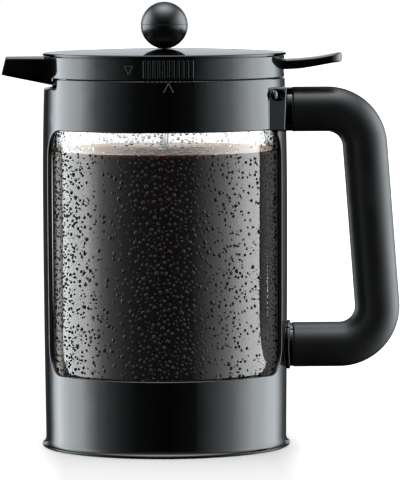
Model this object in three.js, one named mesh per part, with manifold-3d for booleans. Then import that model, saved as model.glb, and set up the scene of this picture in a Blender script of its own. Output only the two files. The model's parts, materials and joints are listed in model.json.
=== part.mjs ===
// Cold brew coffee maker: a clear jug in a one-piece windowed frame with a D handle,
// a turn-to-lock lid with a pouring spout and thumb lever, and a filter plunger.
// Millimetres, +Z up. The origin lies on the jug's axis, on the surface it stands on.
// The spout points along -X, the handle along +X, and the front is -Y.

import * as THREE from 'three';
import { mergeVertices } from 'three/addons/utils/BufferGeometryUtils.js';
import Module from 'manifold-3d';

const wasm = await Module();
wasm.setup();

const degree = Math.PI / 180;

// Clearances that all pieces share
const gap = 0.3;
const overrun = 2;
const weldDistance = 0.0003;

// Jug
const jugRadius = 59.2;
const jugWall = 2.3;
const jugFloor = 3;
const jugHeight = 182.1;
const jugCornerRadius = 5;
const cushionThickness = 1.2;
const cushionWidth = 9;

// Frame moulding
const jugMargin = 1.3;
const frameWall = 2.5;
const bellySwell = 1.2;
const baseSwell = 0.3;
const bellyHeight = 133.4;
const footHeight = 0.6;
const footRadius = 0.9;
const footInset = 2.2;
const footCount = 16;
const lipReach = 2;
const lipEdgeHeight = 1;
const lipUnderBevel = 0.7;
const flareHeight = 4.3;
const floorThickness = 3.6;
const floorRecessDepth = 1.2;
const floorRecessWidth = 36;
const floorRimWidth = 9;
const baseBandHeight = 39.1;
const collarHeight = 26.6;
const rimDrop = 6;
const windowCornerRadius = 14;
const spoutStrutHalfAngle = 15.3;
const handleStrutHalfAngle = 20.5;
const notchDepth = 5.2;
const notchHalfAngle = 25.7;
const notchCornerRadius = 1.8;
const centringRibCount = 8;
const centringRibThickness = 1.6;
const centringRibHeight = 17;
const centringRibClearance = 0.4;

// Turn and stops of the lid
const lidTurn = 19;
const lugCount = 3;
const lugHalfAngle = 4;
const lugReach = 1.1;
const lugHeight = 3;
const lugRise = 0.6;
const stopHalfAngle = 1.5;
const stopReach = 0.9;
const guideMargin = 1.5;

// Lid base: band, spout, deck and plug
const seamGap = 0.4;
const bandInset = 0.1;
const bandWall = 2.2;
const bandHeight = 10.9;
const bandLedgeHeight = 2.1;
const bandLedgeWidth = 3.7;
const rimClearance = 1.5;
const deckDrop = 2.7;
const deckThickness = 2;
const plugClearance = 0.8;
const plugWall = 3.4;
const plugDepth = 19.2;
const sealHeight = 3.4;
const sealSection = 1.9;
const sealRise = 8;
const sealGrooveDepth = 1.7;
const pourHoleRadius = 6.5;
const pourHoleInset = 14;
const seatHeight = 1;
const seatWidth = 1.5;
const guideTubeRadius = 4.6;
const guideTubeDrop = 5.2;
const bushHeight = 2.4;
const bushRadius = 3.3;
const gripRibCount = 11;
const gripRibPitch = 2.64;
const gripRibWidth = 1.3;
const gripRibReach = 0.7;
const gripRibMargin = 0.5;

// Spout
const spoutLength = 20.3;
const spoutTipRake = 2.4;
const spoutTipHeight = 9.5;
const spoutTipHalfWidth = 6.4;
const spoutTopHalfWidth = 10;
const spoutRootDrop = 4.1;
const spoutWall = 1.8;
const spoutKeelShare = 0.6;

// Lid cap
const capOverhang = 0.9;
const capEdgeHeight = 1.3;
const capEdgeRound = 0.5;
const capRise = 2;
const capShell = 1.8;
const capSeatWidth = 1.2;
const capRingHeight = 1.6;
const capRingWidth = 1.9;
const capRibCount = 6;
const capRibThickness = 1.2;
const capRibInnerRadius = 12;
const capRibOuterRadius = 24;
const capRibHeight = 1;

// Thumb lever, its pin, spring and valve pad
const leverPivotInset = 27;
const leverPivotHeight = 8.4;
const leverBarrelRadius = 3.2;
const leverBarrelLength = 12;
const leverTravel = 4;
const leverWidth = 19;
const leverReach = 30.1;
const leverRootHeight = 5.2;
const leverRootRise = 3.6;
const leverTipThickness = 5.1;
const leverTipRise = 3.7;
const leverTipRound = 7;
const leverArmWidth = 9;
const leverArmThickness = 2.4;
const leverRingWidth = 3;
const leverRingMargin = 2;
const pinRadius = 1.5;
const pinEarThickness = 3.2;
const pinEarWidth = 7;
const pinBossRound = 3.2;
const valvePadRadius = 8.4;
const valvePadThickness = 2.3;
const springRadius = 3.2;
const springWireRadius = 0.4;
const springTurns = 5;
const springPlace = 24;
const springSeatRise = 4.6;

// Knob and rod
const rodRadius = 2.1;
const knobRadius = 12.3;
const knobNeckRadius = 4.6;
const knobNeckHeight = 0.5;
const knobBoreFloor = 1.8;
const insertRadius = 4;
const insertRise = 3.1;
const insertCap = 1.4;

// Filter at the foot of the rod
const filterFloorClearance = 0.8;
const crossPlateThickness = 1.2;
const crossPlateMargin = 2.2;
const crossHubRadius = 5;
const crossHubHeight = 4.8;
const crossHoleRadius = 9;
const crossHoleRing = 32;
const crossHoleCount = 6;
const meshThickness = 0.6;
const meshMargin = 0.8;
const springPlateThickness = 1;
const springPlateMargin = 4.2;
const springPlateRim = 5;
const springPlateRimWall = 1.2;
const springPlateHoleRadius = 4;
const springPlateHoleRing = 30;
const springPlateHoleCount = 8;
const edgeSpringRadius = 1.35;
const rodCollarRadius = 5;
const rodCollarHeight = 2.6;

// Handle: moulded core with saddle and lower plate, soft grip, screws
const rootPlateThickness = 1.4;
const saddleHeight = 22.2;
const saddleTopDip = 1.8;
const saddleHalfAngle = 34.7;
const saddleTopHalfAngle = 32.9;
const saddleSideTurn = 18;
const saddleSideDepth = 9.7;
const saddleBackThickness = 0.3;
const saddleCornerRadius = 3;
const rootPlateRadius = 12.9;
const neckRadius = 11.5;
const neckReach = 3.5;
const gripRadius = 11.8;
const gripWall = 2.4;
const upperArmBelowCollar = 17.1;
const lowerArmAboveWindow = 12.55;
const legTopReach = 40.9;
const legBottomReach = 50.3;
const gripBendRadius = 20;
const saddleScrewInset = 5.2;
const saddleScrewDrop = 8.5;
const saddleScrewSeat = 0.5;
const saddleScrewHeadRadius = 2.9;
const saddleScrewHeadHeight = 2;
const saddleScrewShankRadius = 1.4;
const saddleScrewShankLength = 2.2;
const rootScrewHeadRadius = 3.6;
const rootScrewHeadHeight = 1.2;
const rootScrewShankRadius = 1.8;
const rootScrewShankLength = 14;

// How finely round forms are faceted
const bodySegments = 48;
const smallSegments = 16;
const tinySegments = 8;
const gripSegments = 16;
const barrelSteps = 4;
const bendSteps = 6;
const cornerSteps = 4;
const capSteps = 3;
const knobSteps = 6;
const stationAngle = 8;
const springSteps = 8;
const springSides = 5;

// Levels, worked out from the sizes above
const undersideZ = footHeight;
const floorTopZ = undersideZ + floorThickness;
const jugBottomZ = floorTopZ + cushionThickness;
const jugFloorTopZ = jugBottomZ + jugFloor;
const jugRimZ = jugBottomZ + jugHeight;
const collarTopZ = jugRimZ + rimDrop;
const windowTopZ = collarTopZ - collarHeight;
const windowBottomZ = undersideZ + baseBandHeight;
const bellyZ = undersideZ + bellyHeight;
const flareTopZ = undersideZ + flareHeight;
const bandBottomZ = collarTopZ + seamGap;
const bandTopZ = bandBottomZ + bandHeight;
const deckTopZ = bandBottomZ - deckDrop;
const deckBottomZ = deckTopZ - deckThickness;
const guideBottomZ = jugRimZ + rimClearance;
const plugBottomZ = deckTopZ - plugDepth;
const seatTopZ = deckTopZ + seatHeight;
const capUnderZ = bandTopZ + seamGap;
const capEdgeTopZ = capUnderZ + capEdgeHeight;
const capApexZ = capEdgeTopZ + capRise;
const capCeilingZ = capApexZ - capShell;
const upperArmZ = collarTopZ - upperArmBelowCollar;
const lowerArmZ = windowBottomZ + lowerArmAboveWindow;
const pivotZ = deckTopZ + leverPivotHeight;
const knobBottomZ = capApexZ + gap;
const knobCentreZ = knobBottomZ + knobNeckHeight + Math.sqrt(knobRadius ** 2 - knobNeckRadius ** 2);
const filterBottomZ = jugFloorTopZ + filterFloorClearance;

// Radii, worked out from the sizes above
const jugInnerRadius = jugRadius - jugWall;
const collarInnerRadius = jugRadius + jugMargin;
const collarRadius = collarInnerRadius + frameWall;
const bellyRadius = collarRadius + bellySwell;
const baseRadius = collarRadius + baseSwell;
const lipRadius = baseRadius + lipReach;
const guideRadius = collarInnerRadius - guideMargin;
const bandRadius = collarRadius - bandInset;
const bandInnerRadius = bandRadius - bandWall;
const ledgeInnerRadius = bandInnerRadius - bandLedgeWidth;
const plugRadius = jugInnerRadius - plugClearance;
const plugInnerRadius = plugRadius - plugWall;
const capRadius = bandRadius + capOverhang;
const rodBoreRadius = rodRadius + gap;
const pourHolePlace = jugRadius - pourHoleInset;
const pivotX = collarRadius - leverPivotInset;
const neckEndX = collarRadius + neckReach;
const saddleScrewAngle = saddleHalfAngle - saddleScrewInset / collarRadius / degree;

// Turns a three.js geometry into a solid that can be cut and joined
function solid(geometry) {
  const bare = geometry.index ? geometry.toNonIndexed() : geometry.clone();
  for (const name of Object.keys(bare.attributes)) {
    if (name !== 'position') bare.deleteAttribute(name);
  }
  const merged = mergeVertices(bare, weldDistance);
  const corners = merged.index.array;
  const places = merged.attributes.position;
  const kept = [];
  let volume = 0;
  const a = new THREE.Vector3();
  const b = new THREE.Vector3();
  const c = new THREE.Vector3();
  for (let i = 0; i < corners.length; i += 3) {
    const [p, q, r] = [corners[i], corners[i + 1], corners[i + 2]];
    if (p === q || q === r || r === p) continue;
    kept.push(p, q, r);
    a.fromBufferAttribute(places, p);
    b.fromBufferAttribute(places, q);
    c.fromBufferAttribute(places, r);
    volume += a.dot(b.cross(c));
  }
  if (volume < 0) kept.reverse();
  const mesh = new wasm.Mesh({
    numProp: 3,
    vertProperties: new Float32Array(places.array),
    triVerts: new Uint32Array(kept),
  });
  return new wasm.Manifold(mesh);
}

function joined(first, ...others) {
  return others.reduce((whole, other) => whole.add(other), first);
}

function cut(first, ...others) {
  return others.reduce((whole, other) => whole.subtract(other), first);
}

function shared(first, ...others) {
  return others.reduce((whole, other) => whole.intersect(other), first);
}

// Revolves a profile of [radius, height] points about the Z axis
function revolve(profile, segments = bodySegments) {
  const points = profile.map(([radius, height]) => new THREE.Vector2(radius, height));
  const closed = profile[0][0] > 0 || profile[profile.length - 1][0] > 0;
  if (closed) points.push(points[0].clone());
  return solid(new THREE.LatheGeometry(points, segments).rotateX(Math.PI / 2));
}

function disc(radius, bottom, top, segments = smallSegments) {
  return revolve([[0, bottom], [radius, bottom], [radius, top], [0, top]], segments);
}

function tube(inner, outer, bottom, top, segments = smallSegments) {
  return revolve([[inner, bottom], [outer, bottom], [outer, top], [inner, top]], segments);
}

function outline(points) {
  return new THREE.Shape(points.map(([across, up]) => new THREE.Vector2(across, up)));
}

// Extrudes an outline drawn in plan from one height to another
function plate(shape, bottom, top) {
  const geometry = new THREE.ExtrudeGeometry(shape, {
    depth: top - bottom, bevelEnabled: false, curveSegments: tinySegments,
  });
  return solid(geometry.translate(0, 0, bottom));
}

// Extrudes an outline drawn in X and Z to both sides of the XZ plane
function slab(shape, halfWidth) {
  const geometry = new THREE.ExtrudeGeometry(shape, {
    depth: 2 * halfWidth, bevelEnabled: false, curveSegments: tinySegments,
  });
  return solid(geometry.translate(0, 0, -halfWidth).rotateX(Math.PI / 2));
}

// Extrudes an outline drawn in Y and Z along X from one place to another
function bar(shape, from, to) {
  const geometry = new THREE.ExtrudeGeometry(shape, {
    depth: to - from, bevelEnabled: false, curveSegments: tinySegments,
  });
  const turned = geometry.rotateX(Math.PI / 2).rotateZ(Math.PI / 2);
  return solid(turned.translate(from, 0, 0));
}

function box(low, high) {
  const size = low.map((value, i) => high[i] - value);
  const centre = low.map((value, i) => (value + high[i]) / 2);
  return solid(new THREE.BoxGeometry(...size).translate(...centre));
}

// A cylinder along Y, X or any direction, from one point to another
function rodBetween(from, to, radius, segments = smallSegments) {
  const start = new THREE.Vector3(...from);
  const way = new THREE.Vector3(...to).sub(start);
  const up = new THREE.Vector3(0, 1, 0);
  const turn = new THREE.Quaternion().setFromUnitVectors(up, way.clone().normalize());
  const geometry = new THREE.CylinderGeometry(radius, radius, way.length(), segments);
  geometry.applyQuaternion(turn);
  const middle = start.addScaledVector(way, 1 / 2);
  return solid(geometry.translate(middle.x, middle.y, middle.z));
}

// The radius at the middle of a facet of a round wall
function flatOf(radius) {
  return radius * Math.cos(Math.PI / bodySegments);
}

// Joins rings of equal point count into one closed body, with a flat or fanned cap at each end
function loft(rings) {
  const count = rings[0].length;
  const places = rings.flat(2);
  const faces = [];
  for (let ring = 0; ring < rings.length - 1; ring++) {
    for (let i = 0; i < count; i++) {
      const here = ring * count + i;
      const next = ring * count + (i + 1) % count;
      faces.push(here, next, next + count, here, next + count, here + count);
    }
  }
  const last = (rings.length - 1) * count;
  for (let i = 1; i < count - 1; i++) {
    faces.push(0, i + 1, i);
    faces.push(last, last + i, last + i + 1);
  }
  const geometry = new THREE.BufferGeometry();
  geometry.setAttribute('position', new THREE.Float32BufferAttribute(places, 3));
  geometry.setIndex(faces);
  return solid(geometry);
}

function around(radius, angle, height) {
  return [radius * Math.cos(angle * degree), radius * Math.sin(angle * degree), height];
}

// A block that follows the round wall: at each angle it fills radii and heights given by a function
function sector(angles, limitsAt) {
  return loft(angles.map((angle) => {
    const [inner, outer, bottom, top] = limitsAt(angle);
    return [
      around(inner, angle, bottom), around(outer, angle, bottom),
      around(outer, angle, top), around(inner, angle, top),
    ];
  }));
}

// Even steps from one angle to another, about stationAngle apart
function anglesBetween(from, to, step = stationAngle) {
  const count = Math.max(1, Math.ceil((to - from) / step));
  return Array.from({ length: count + 1 }, (unused, i) => from + (to - from) * i / count);
}

// Angles that also follow a rounded corner at both ends
function angledCorners(from, to, cornerAngle) {
  const corner = Array.from({ length: cornerSteps }, (unused, i) => (
    cornerAngle * (1 - Math.cos(Math.PI / 2 * i / cornerSteps))
  ));
  const middle = anglesBetween(from + cornerAngle, to - cornerAngle);
  const start = corner.map((angle) => from + angle);
  const end = corner.map((angle) => to - angle).reverse();
  return [...start, ...middle, ...end];
}

// How far a rounded corner stands in from the straight edge, at a distance from the corner's side
function cornerInset(distance, radius) {
  if (distance >= radius) return 0;
  return radius - Math.sqrt(radius ** 2 - (radius - distance) ** 2);
}

// The frame's outer radius swells gently from the base to the belly and draws in at the collar
function frameRadiusAt(height) {
  if (height > bellyZ) {
    const share = (height - bellyZ) / (collarTopZ - bellyZ);
    return bellyRadius - (bellyRadius - collarRadius) * share ** 2;
  }
  const share = (bellyZ - height) / (bellyZ - flareTopZ);
  return bellyRadius - (bellyRadius - baseRadius) * share ** 2;
}

function frameWallPoints(from, to, offset) {
  return Array.from({ length: barrelSteps + 1 }, (unused, i) => {
    const height = from + (to - from) * i / barrelSteps;
    return [frameRadiusAt(height) + offset, height];
  });
}

// Frame: one moulding of collar, struts, base cup, floor and flared lip

const lipShares = [[1, 0], [0.62, 0.12], [0.3, 0.36], [0.1, 0.68], [0, 1]];

function frameCup() {
  const lipEdgeZ = undersideZ + lipEdgeHeight;
  const recessOuter = baseRadius - floorRimWidth;
  const recessInner = recessOuter - floorRecessWidth;
  const recessZ = undersideZ + floorRecessDepth;
  const flare = lipShares.map(([out, up]) => [
    baseRadius + lipReach * out,
    lipEdgeZ + (flareTopZ - lipEdgeZ) * up,
  ]);
  return revolve([
    [0, undersideZ],
    [recessInner, undersideZ],
    [recessInner + floorRecessDepth, recessZ],
    [recessOuter - floorRecessDepth, recessZ],
    [recessOuter, undersideZ],
    [lipRadius - lipUnderBevel, undersideZ],
    ...flare,
    ...frameWallPoints(flareTopZ, collarTopZ, 0).slice(1),
    ...frameWallPoints(collarTopZ, floorTopZ, -frameWall),
    [0, floorTopZ],
  ]);
}

function windowCutter(from, to) {
  const cornerAngle = windowCornerRadius / bellyRadius / degree;
  return sector(angledCorners(from, to, cornerAngle), (angle) => {
    const side = Math.min(angle - from, to - angle) * degree * bellyRadius;
    const inset = cornerInset(side, windowCornerRadius);
    return [
      collarInnerRadius - overrun, bellyRadius + overrun,
      windowBottomZ + inset, windowTopZ - inset,
    ];
  });
}

function notchCutter() {
  const cornerAngle = notchCornerRadius / collarRadius / degree;
  const [from, to] = [180 - notchHalfAngle, 180 + notchHalfAngle];
  return sector(angledCorners(from, to, cornerAngle), (angle) => {
    const side = Math.min(angle - from, to - angle) * degree * collarRadius;
    const inset = cornerInset(side, notchCornerRadius);
    return [
      collarInnerRadius - overrun, bellyRadius + overrun,
      collarTopZ - notchDepth + inset, collarTopZ + overrun,
    ];
  });
}

function frameFeet() {
  const ring = lipRadius - footInset;
  return Array.from({ length: footCount }, (unused, i) => {
    const [x, y] = around(ring, 270 + i * 360 / footCount, 0);
    return disc(footRadius, 0, undersideZ + floorRecessDepth, tinySegments).translate(x, y, 0);
  });
}

// Ribs that stand on the inside wall and centre the jug
function centringRibs(bottom, top) {
  const inner = jugRadius + centringRibClearance;
  const half = centringRibThickness / 2;
  const rib = box([inner, -half, bottom], [collarInnerRadius + frameWall / 2, half, top]);
  return Array.from({ length: centringRibCount }, (unused, i) => (
    rib.rotate([0, 0, (i + 1 / 2) * 360 / centringRibCount])
  ));
}

function lugAngles() {
  return Array.from({ length: lugCount }, (unused, i) => 180 + (i + 1) * 360 / (lugCount + 1));
}

// Stops inside the collar, which end the lid's turn at each lug
function lidStops() {
  const clear = gap / guideRadius / degree;
  const reach = lugHalfAngle + clear + stopHalfAngle;
  const bottom = guideBottomZ + gap;
  const top = bottom + lugHeight + lugRise;
  const places = lugAngles().flatMap((angle) => [angle - reach, angle + lidTurn + reach]);
  return places.map((place) => sector(
    anglesBetween(place - stopHalfAngle, place + stopHalfAngle),
    () => [collarInnerRadius - stopReach, collarInnerRadius + frameWall / 2, bottom, top],
  ));
}

function frameScrewHoles() {
  const shank = saddleScrewShankRadius + gap;
  const saddleHoles = [-1, 1].map((side) => (
    saddleScrewRod(side, collarInnerRadius - overrun, bellyRadius + overrun, shank, tinySegments)
  ));
  const rootHoles = [upperArmZ, lowerArmZ].map((height) => rodBetween(
    [collarInnerRadius - overrun, 0, height],
    [bellyRadius + overrun, 0, height],
    rootScrewShankRadius + gap,
    tinySegments,
  ));
  return [...saddleHoles, ...rootHoles];
}

function makeFrame() {
  const front = windowCutter(180 + spoutStrutHalfAngle, 360 - handleStrutHalfAngle);
  const back = windowCutter(handleStrutHalfAngle, 180 - spoutStrutHalfAngle);
  const ribTop = guideBottomZ - overrun;
  const upperRibs = centringRibs(ribTop - centringRibHeight, ribTop);
  const lowerRibs = centringRibs(floorTopZ - floorRecessDepth, windowBottomZ - overrun);
  const body = cut(frameCup(), front, back, notchCutter(), ...frameScrewHoles());
  return joined(body, ...frameFeet(), ...upperRibs, ...lowerRibs, ...lidStops());
}

// Handle

function handleCorners() {
  const legTop = [collarRadius + legTopReach, upperArmZ];
  const legBottom = [collarRadius + legBottomReach, lowerArmZ];
  return [legTop, legBottom];
}

// Stations along the D-shaped centre line: [place, direction] pairs in the XZ plane
function handleStations(startX) {
  const [top, bottom] = handleCorners().map(([x, z]) => new THREE.Vector2(x, z));
  const start = new THREE.Vector2(startX, top.y);
  const end = new THREE.Vector2(startX, bottom.y);
  const stations = [[start, top.clone().sub(start).normalize()]];
  for (const [before, corner, after] of [[start, top, bottom], [top, bottom, end]]) {
    const arriving = corner.clone().sub(before).normalize();
    const leaving = after.clone().sub(corner).normalize();
    const turn = Math.acos(arriving.dot(leaving));
    const tangentLength = gripBendRadius * Math.tan(turn / 2);
    const inward = new THREE.Vector2(arriving.y, -arriving.x);
    const centre = corner.clone().addScaledVector(arriving, -tangentLength);
    centre.addScaledVector(inward, gripBendRadius);
    for (let i = 0; i <= bendSteps; i++) {
      const angle = turn * i / bendSteps;
      const outward = inward.clone().negate().rotateAround(new THREE.Vector2(), -angle);
      const place = centre.clone().addScaledVector(outward, gripBendRadius);
      stations.push([place, arriving.clone().rotateAround(new THREE.Vector2(), -angle)]);
    }
  }
  stations.push([end, new THREE.Vector2(-1, 0)]);
  return stations;
}

function bentTube(startX, radius, segments) {
  return loft(handleStations(startX).map(([place, direction]) => {
    const across = new THREE.Vector2(-direction.y, direction.x);
    return Array.from({ length: segments }, (unused, i) => {
      const angle = 2 * Math.PI * i / segments;
      const out = radius * Math.cos(angle);
      return [place.x + across.x * out, radius * Math.sin(angle), place.y + across.y * out];
    });
  }));
}

// A shell that lies on the frame's outer face, a gap away from it
function outerShell(bottom, top) {
  return revolve([
    ...frameWallPoints(bottom, top, gap + rootPlateThickness),
    ...frameWallPoints(top, bottom, gap),
  ]);
}

// The saddle from above: two sides that run out from the collar to a shallow back
function saddlePlan() {
  const [footX, footY] = around(collarRadius, saddleHalfAngle, 0);
  const way = new THREE.Vector2(Math.cos(saddleSideTurn * degree), -Math.sin(saddleSideTurn * degree));
  const foot = new THREE.Vector2(footX, footY);
  const root = foot.clone().addScaledVector(way, -overrun);
  const corner = foot.clone().addScaledVector(way, saddleSideDepth);
  const backX = bellyRadius + saddleBackThickness;
  const shape = new THREE.Shape();
  shape.moveTo(root.x, -root.y);
  shape.lineTo(corner.x, -corner.y);
  shape.quadraticCurveTo(backX + (backX - corner.x), 0, corner.x, corner.y);
  shape.lineTo(root.x, root.y);
  return shape;
}

// The saddle from the handle's side: its upper corners are rounded, and its top dips in the middle
function saddleFace(bottom, top) {
  const footHalf = collarRadius * Math.sin(saddleHalfAngle * degree);
  const half = collarRadius * Math.sin(saddleTopHalfAngle * degree);
  const shape = new THREE.Shape();
  shape.moveTo(-footHalf, bottom);
  shape.lineTo(footHalf, bottom);
  shape.lineTo(half, top - saddleCornerRadius);
  shape.quadraticCurveTo(half, top, half - saddleCornerRadius, top);
  shape.quadraticCurveTo(0, top - 2 * saddleTopDip, saddleCornerRadius - half, top);
  shape.quadraticCurveTo(-half, top, -half, top - saddleCornerRadius);
  return shape;
}

// A radial rod on a saddle screw's axis
function saddleScrewRod(side, from, to, radius, segments = smallSegments) {
  const height = collarTopZ - saddleScrewDrop;
  const angle = side * saddleScrewAngle;
  return rodBetween(around(from, angle, height), around(to, angle, height), radius, segments);
}

function makeSaddle() {
  const bottom = windowTopZ;
  const top = windowTopZ + saddleHeight;
  const face = bar(saddleFace(bottom, top), 0, bellyRadius + overrun);
  const block = shared(plate(saddlePlan(), bottom, top), face);
  const seatRadius = frameRadiusAt(collarTopZ - saddleScrewDrop) + gap + saddleScrewSeat;
  const lugs = [-1, 1].map((side) => (
    saddleScrewRod(side, collarInnerRadius, seatRadius, saddleScrewHeadRadius)
  ));
  const headRooms = [-1, 1].map((side) => (
    saddleScrewRod(side, seatRadius, bellyRadius + saddleSideDepth, saddleScrewHeadRadius + gap)
  ));
  return cut(joined(block, ...lugs), ...headRooms);
}

function rootPlate() {
  const seat = rodBetween(
    [collarInnerRadius, 0, lowerArmZ],
    [bellyRadius + rootPlateThickness + overrun, 0, lowerArmZ],
    rootPlateRadius,
  );
  return shared(outerShell(lowerArmZ - rootPlateRadius, lowerArmZ + rootPlateRadius), seat);
}

function neck(height) {
  return rodBetween([collarRadius, 0, height], [neckEndX, 0, height], neckRadius, gripSegments);
}

function makeHandleCore() {
  const frameSpace = revolve([
    [0, windowBottomZ - gripRadius],
    ...frameWallPoints(windowBottomZ - gripRadius, collarTopZ, gap),
    [0, collarTopZ],
  ]);
  const necks = [upperArmZ, lowerArmZ].map(neck);
  const spine = bentTube(neckEndX - neckReach / 4, gripRadius - gripWall - gap, tinySegments);
  const screwBores = [upperArmZ, lowerArmZ].map((height) => rodBetween(
    [collarRadius - overrun, 0, height],
    [bellyRadius + gap + rootScrewShankLength, 0, height],
    rootScrewShankRadius + gap,
    tinySegments,
  ));
  const shank = saddleScrewShankRadius + gap;
  const saddleHoles = [-1, 1].map((side) => (
    saddleScrewRod(side, collarInnerRadius, bellyRadius + saddleSideDepth, shank, tinySegments)
  ));
  const rough = cut(joined(...necks, spine, makeSaddle()), frameSpace);
  return cut(joined(rough, rootPlate()), ...screwBores, ...saddleHoles);
}

function makeHandleGrip() {
  const skin = bentTube(neckEndX, gripRadius, gripSegments);
  return cut(skin, bentTube(neckEndX - overrun, gripRadius - gripWall, tinySegments));
}

// A dome-head screw that holds the saddle to the collar
function saddleScrew(side) {
  const seat = saddleScrewSeat + gap;
  const shankStart = -saddleScrewShankLength;
  const dome = Array.from({ length: cornerSteps + 1 }, (unused, i) => {
    const angle = Math.PI / 2 * i / cornerSteps;
    return [saddleScrewHeadRadius * Math.cos(angle), seat + gap + saddleScrewHeadHeight * Math.sin(angle)];
  });
  const screw = revolve([
    [0, shankStart],
    [saddleScrewShankRadius, shankStart],
    [saddleScrewShankRadius, seat + gap],
    ...dome.slice(0, -1),
    [0, seat + gap + saddleScrewHeadHeight],
  ], smallSegments);
  const height = collarTopZ - saddleScrewDrop;
  const turned = screw.rotate([0, 90, 0]).rotate([0, 0, side * saddleScrewAngle]);
  return turned.translate(around(frameRadiusAt(height), side * saddleScrewAngle, height));
}

// A screw from inside the frame into the handle's root
function rootScrew(height) {
  const wallFlat = flatOf(frameRadiusAt(height) - frameWall);
  const seatX = Math.sqrt(wallFlat ** 2 - rootScrewHeadRadius ** 2) - gap;
  const headInner = seatX - rootScrewHeadHeight;
  const head = rodBetween(
    [headInner, 0, height], [seatX, 0, height], rootScrewHeadRadius, tinySegments,
  );
  const tip = headInner + rootScrewShankLength;
  const shank = rodBetween([headInner, 0, height], [tip, 0, height], rootScrewShankRadius, tinySegments);
  return joined(head, shank);
}

// Jug and the ring it stands on

function makeJug() {
  const inner = jugInnerRadius;
  const innerCorner = jugCornerRadius - jugWall / 2;
  const arc = (radius, centreRadius, centreHeight) => (
    Array.from({ length: cornerSteps + 1 }, (unused, i) => {
      const angle = Math.PI / 2 * i / cornerSteps;
      return [centreRadius + radius * Math.sin(angle), centreHeight - radius * Math.cos(angle)];
    })
  );
  return revolve([
    [0, jugBottomZ],
    ...arc(jugCornerRadius, jugRadius - jugCornerRadius, jugBottomZ + jugCornerRadius),
    [jugRadius, jugRimZ - jugWall / 3],
    [jugRadius - jugWall / 3, jugRimZ],
    [inner + jugWall / 3, jugRimZ],
    [inner, jugRimZ - jugWall / 3],
    ...arc(innerCorner, inner - innerCorner, jugFloorTopZ + innerCorner).reverse(),
    [0, jugFloorTopZ],
  ]);
}

function makeCushion() {
  const outer = jugRadius - jugCornerRadius;
  return tube(outer - cushionWidth, outer, floorTopZ, jugBottomZ, bodySegments);
}

// Lid base: band, deck, plug, spout, rod guide, pin ears and grip ribs

function lidProfile() {
  const grooveBottom = plugBottomZ + sealRise - sealHeight / 2 - gap;
  const grooveTop = plugBottomZ + sealRise + sealHeight / 2 + gap;
  const grooveRadius = plugRadius - sealGrooveDepth;
  const ledgeZ = bandBottomZ + bandLedgeHeight;
  return [
    [rodBoreRadius, deckBottomZ - guideTubeDrop],
    [guideTubeRadius, deckBottomZ - guideTubeDrop],
    [guideTubeRadius, deckBottomZ],
    [plugInnerRadius, deckBottomZ],
    [plugInnerRadius, plugBottomZ],
    [plugRadius, plugBottomZ],
    [plugRadius, grooveBottom],
    [grooveRadius, grooveBottom],
    [grooveRadius, grooveTop],
    [plugRadius, grooveTop],
    [plugRadius, guideBottomZ],
    [guideRadius, guideBottomZ],
    [guideRadius, bandBottomZ],
    [bandRadius, bandBottomZ],
    [bandRadius, bandTopZ],
    [bandInnerRadius, bandTopZ],
    [bandInnerRadius, ledgeZ],
    [ledgeInnerRadius, ledgeZ],
    [ledgeInnerRadius, deckTopZ],
    [guideTubeRadius, deckTopZ],
    [guideTubeRadius, capCeilingZ - gap],
    [rodBoreRadius, capCeilingZ - gap],
  ];
}

function spoutRootHalfWidth() {
  return collarInnerRadius * Math.sin((notchHalfAngle - lidTurn) * degree) - gap;
}

// The spout is where three outlines meet: its side, its plan and its front
function spoutForm(inset, start, reach) {
  const rootHalf = spoutRootHalfWidth() - inset;
  const keelHalf = rootHalf * spoutKeelShare;
  const topHalf = spoutTopHalfWidth - inset;
  const tipHalf = spoutTipHalfWidth - inset;
  const topZ = bandTopZ - inset;
  const tipTopX = -(bandRadius + spoutLength + reach);
  const tipBottomX = tipTopX - spoutTipRake;
  const tipZ = bandTopZ - spoutTipHeight + inset;
  const rootZ = bandBottomZ - spoutRootDrop + inset;
  const shoulderZ = rootZ + rootHalf - keelHalf;
  const slope = (tipZ - rootZ) / (spoutLength + spoutTipRake);
  const tipBottomZ = tipZ + slope * reach;
  const side = slab(outline([
    [-start, topZ], [tipTopX, topZ], [tipBottomX, tipBottomZ], [-bandRadius, rootZ], [-start, rootZ],
  ]), spoutTopHalfWidth + overrun);
  const plan = plate(outline([
    [-start, -topHalf], [-start, topHalf], [-bandRadius, topHalf],
    [tipBottomX, tipHalf], [tipBottomX, -tipHalf], [-bandRadius, -topHalf],
  ]), rootZ, topZ);
  const front = bar(outline([
    [-keelHalf, rootZ], [keelHalf, rootZ], [rootHalf, shoulderZ], [rootHalf, bandBottomZ],
    [topHalf, topZ], [-topHalf, topZ], [-rootHalf, bandBottomZ], [-rootHalf, shoulderZ],
  ]), tipBottomX, -start);
  return shared(side, plan, front);
}

function spoutOuter() {
  const cavity = disc(bandInnerRadius, bandBottomZ + bandLedgeHeight, capUnderZ, bodySegments);
  return cut(spoutForm(0, guideRadius, 0), cavity);
}

function spoutChannel() {
  const inside = spoutForm(spoutWall, ledgeInnerRadius - overrun, overrun);
  const aboveDeck = box(
    [-(bandRadius + spoutLength + spoutTipRake + 2 * overrun), -bandRadius, deckTopZ + gap],
    [0, bandRadius, capUnderZ],
  );
  return shared(inside, aboveDeck);
}

function gripRibs() {
  const bottom = bandBottomZ + gripRibMargin;
  const top = bandTopZ - gripRibMargin;
  const half = gripRibWidth / 2;
  const rib = box([bandInnerRadius + bandWall / 2, -half, bottom], [bandRadius + gripRibReach, half, top]);
  const step = gripRibPitch / bandRadius / degree;
  return [90, 270].flatMap((middle) => Array.from({ length: gripRibCount }, (unused, i) => (
    rib.rotate([0, 0, middle + (i - (gripRibCount - 1) / 2) * step])
  )));
}

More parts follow.
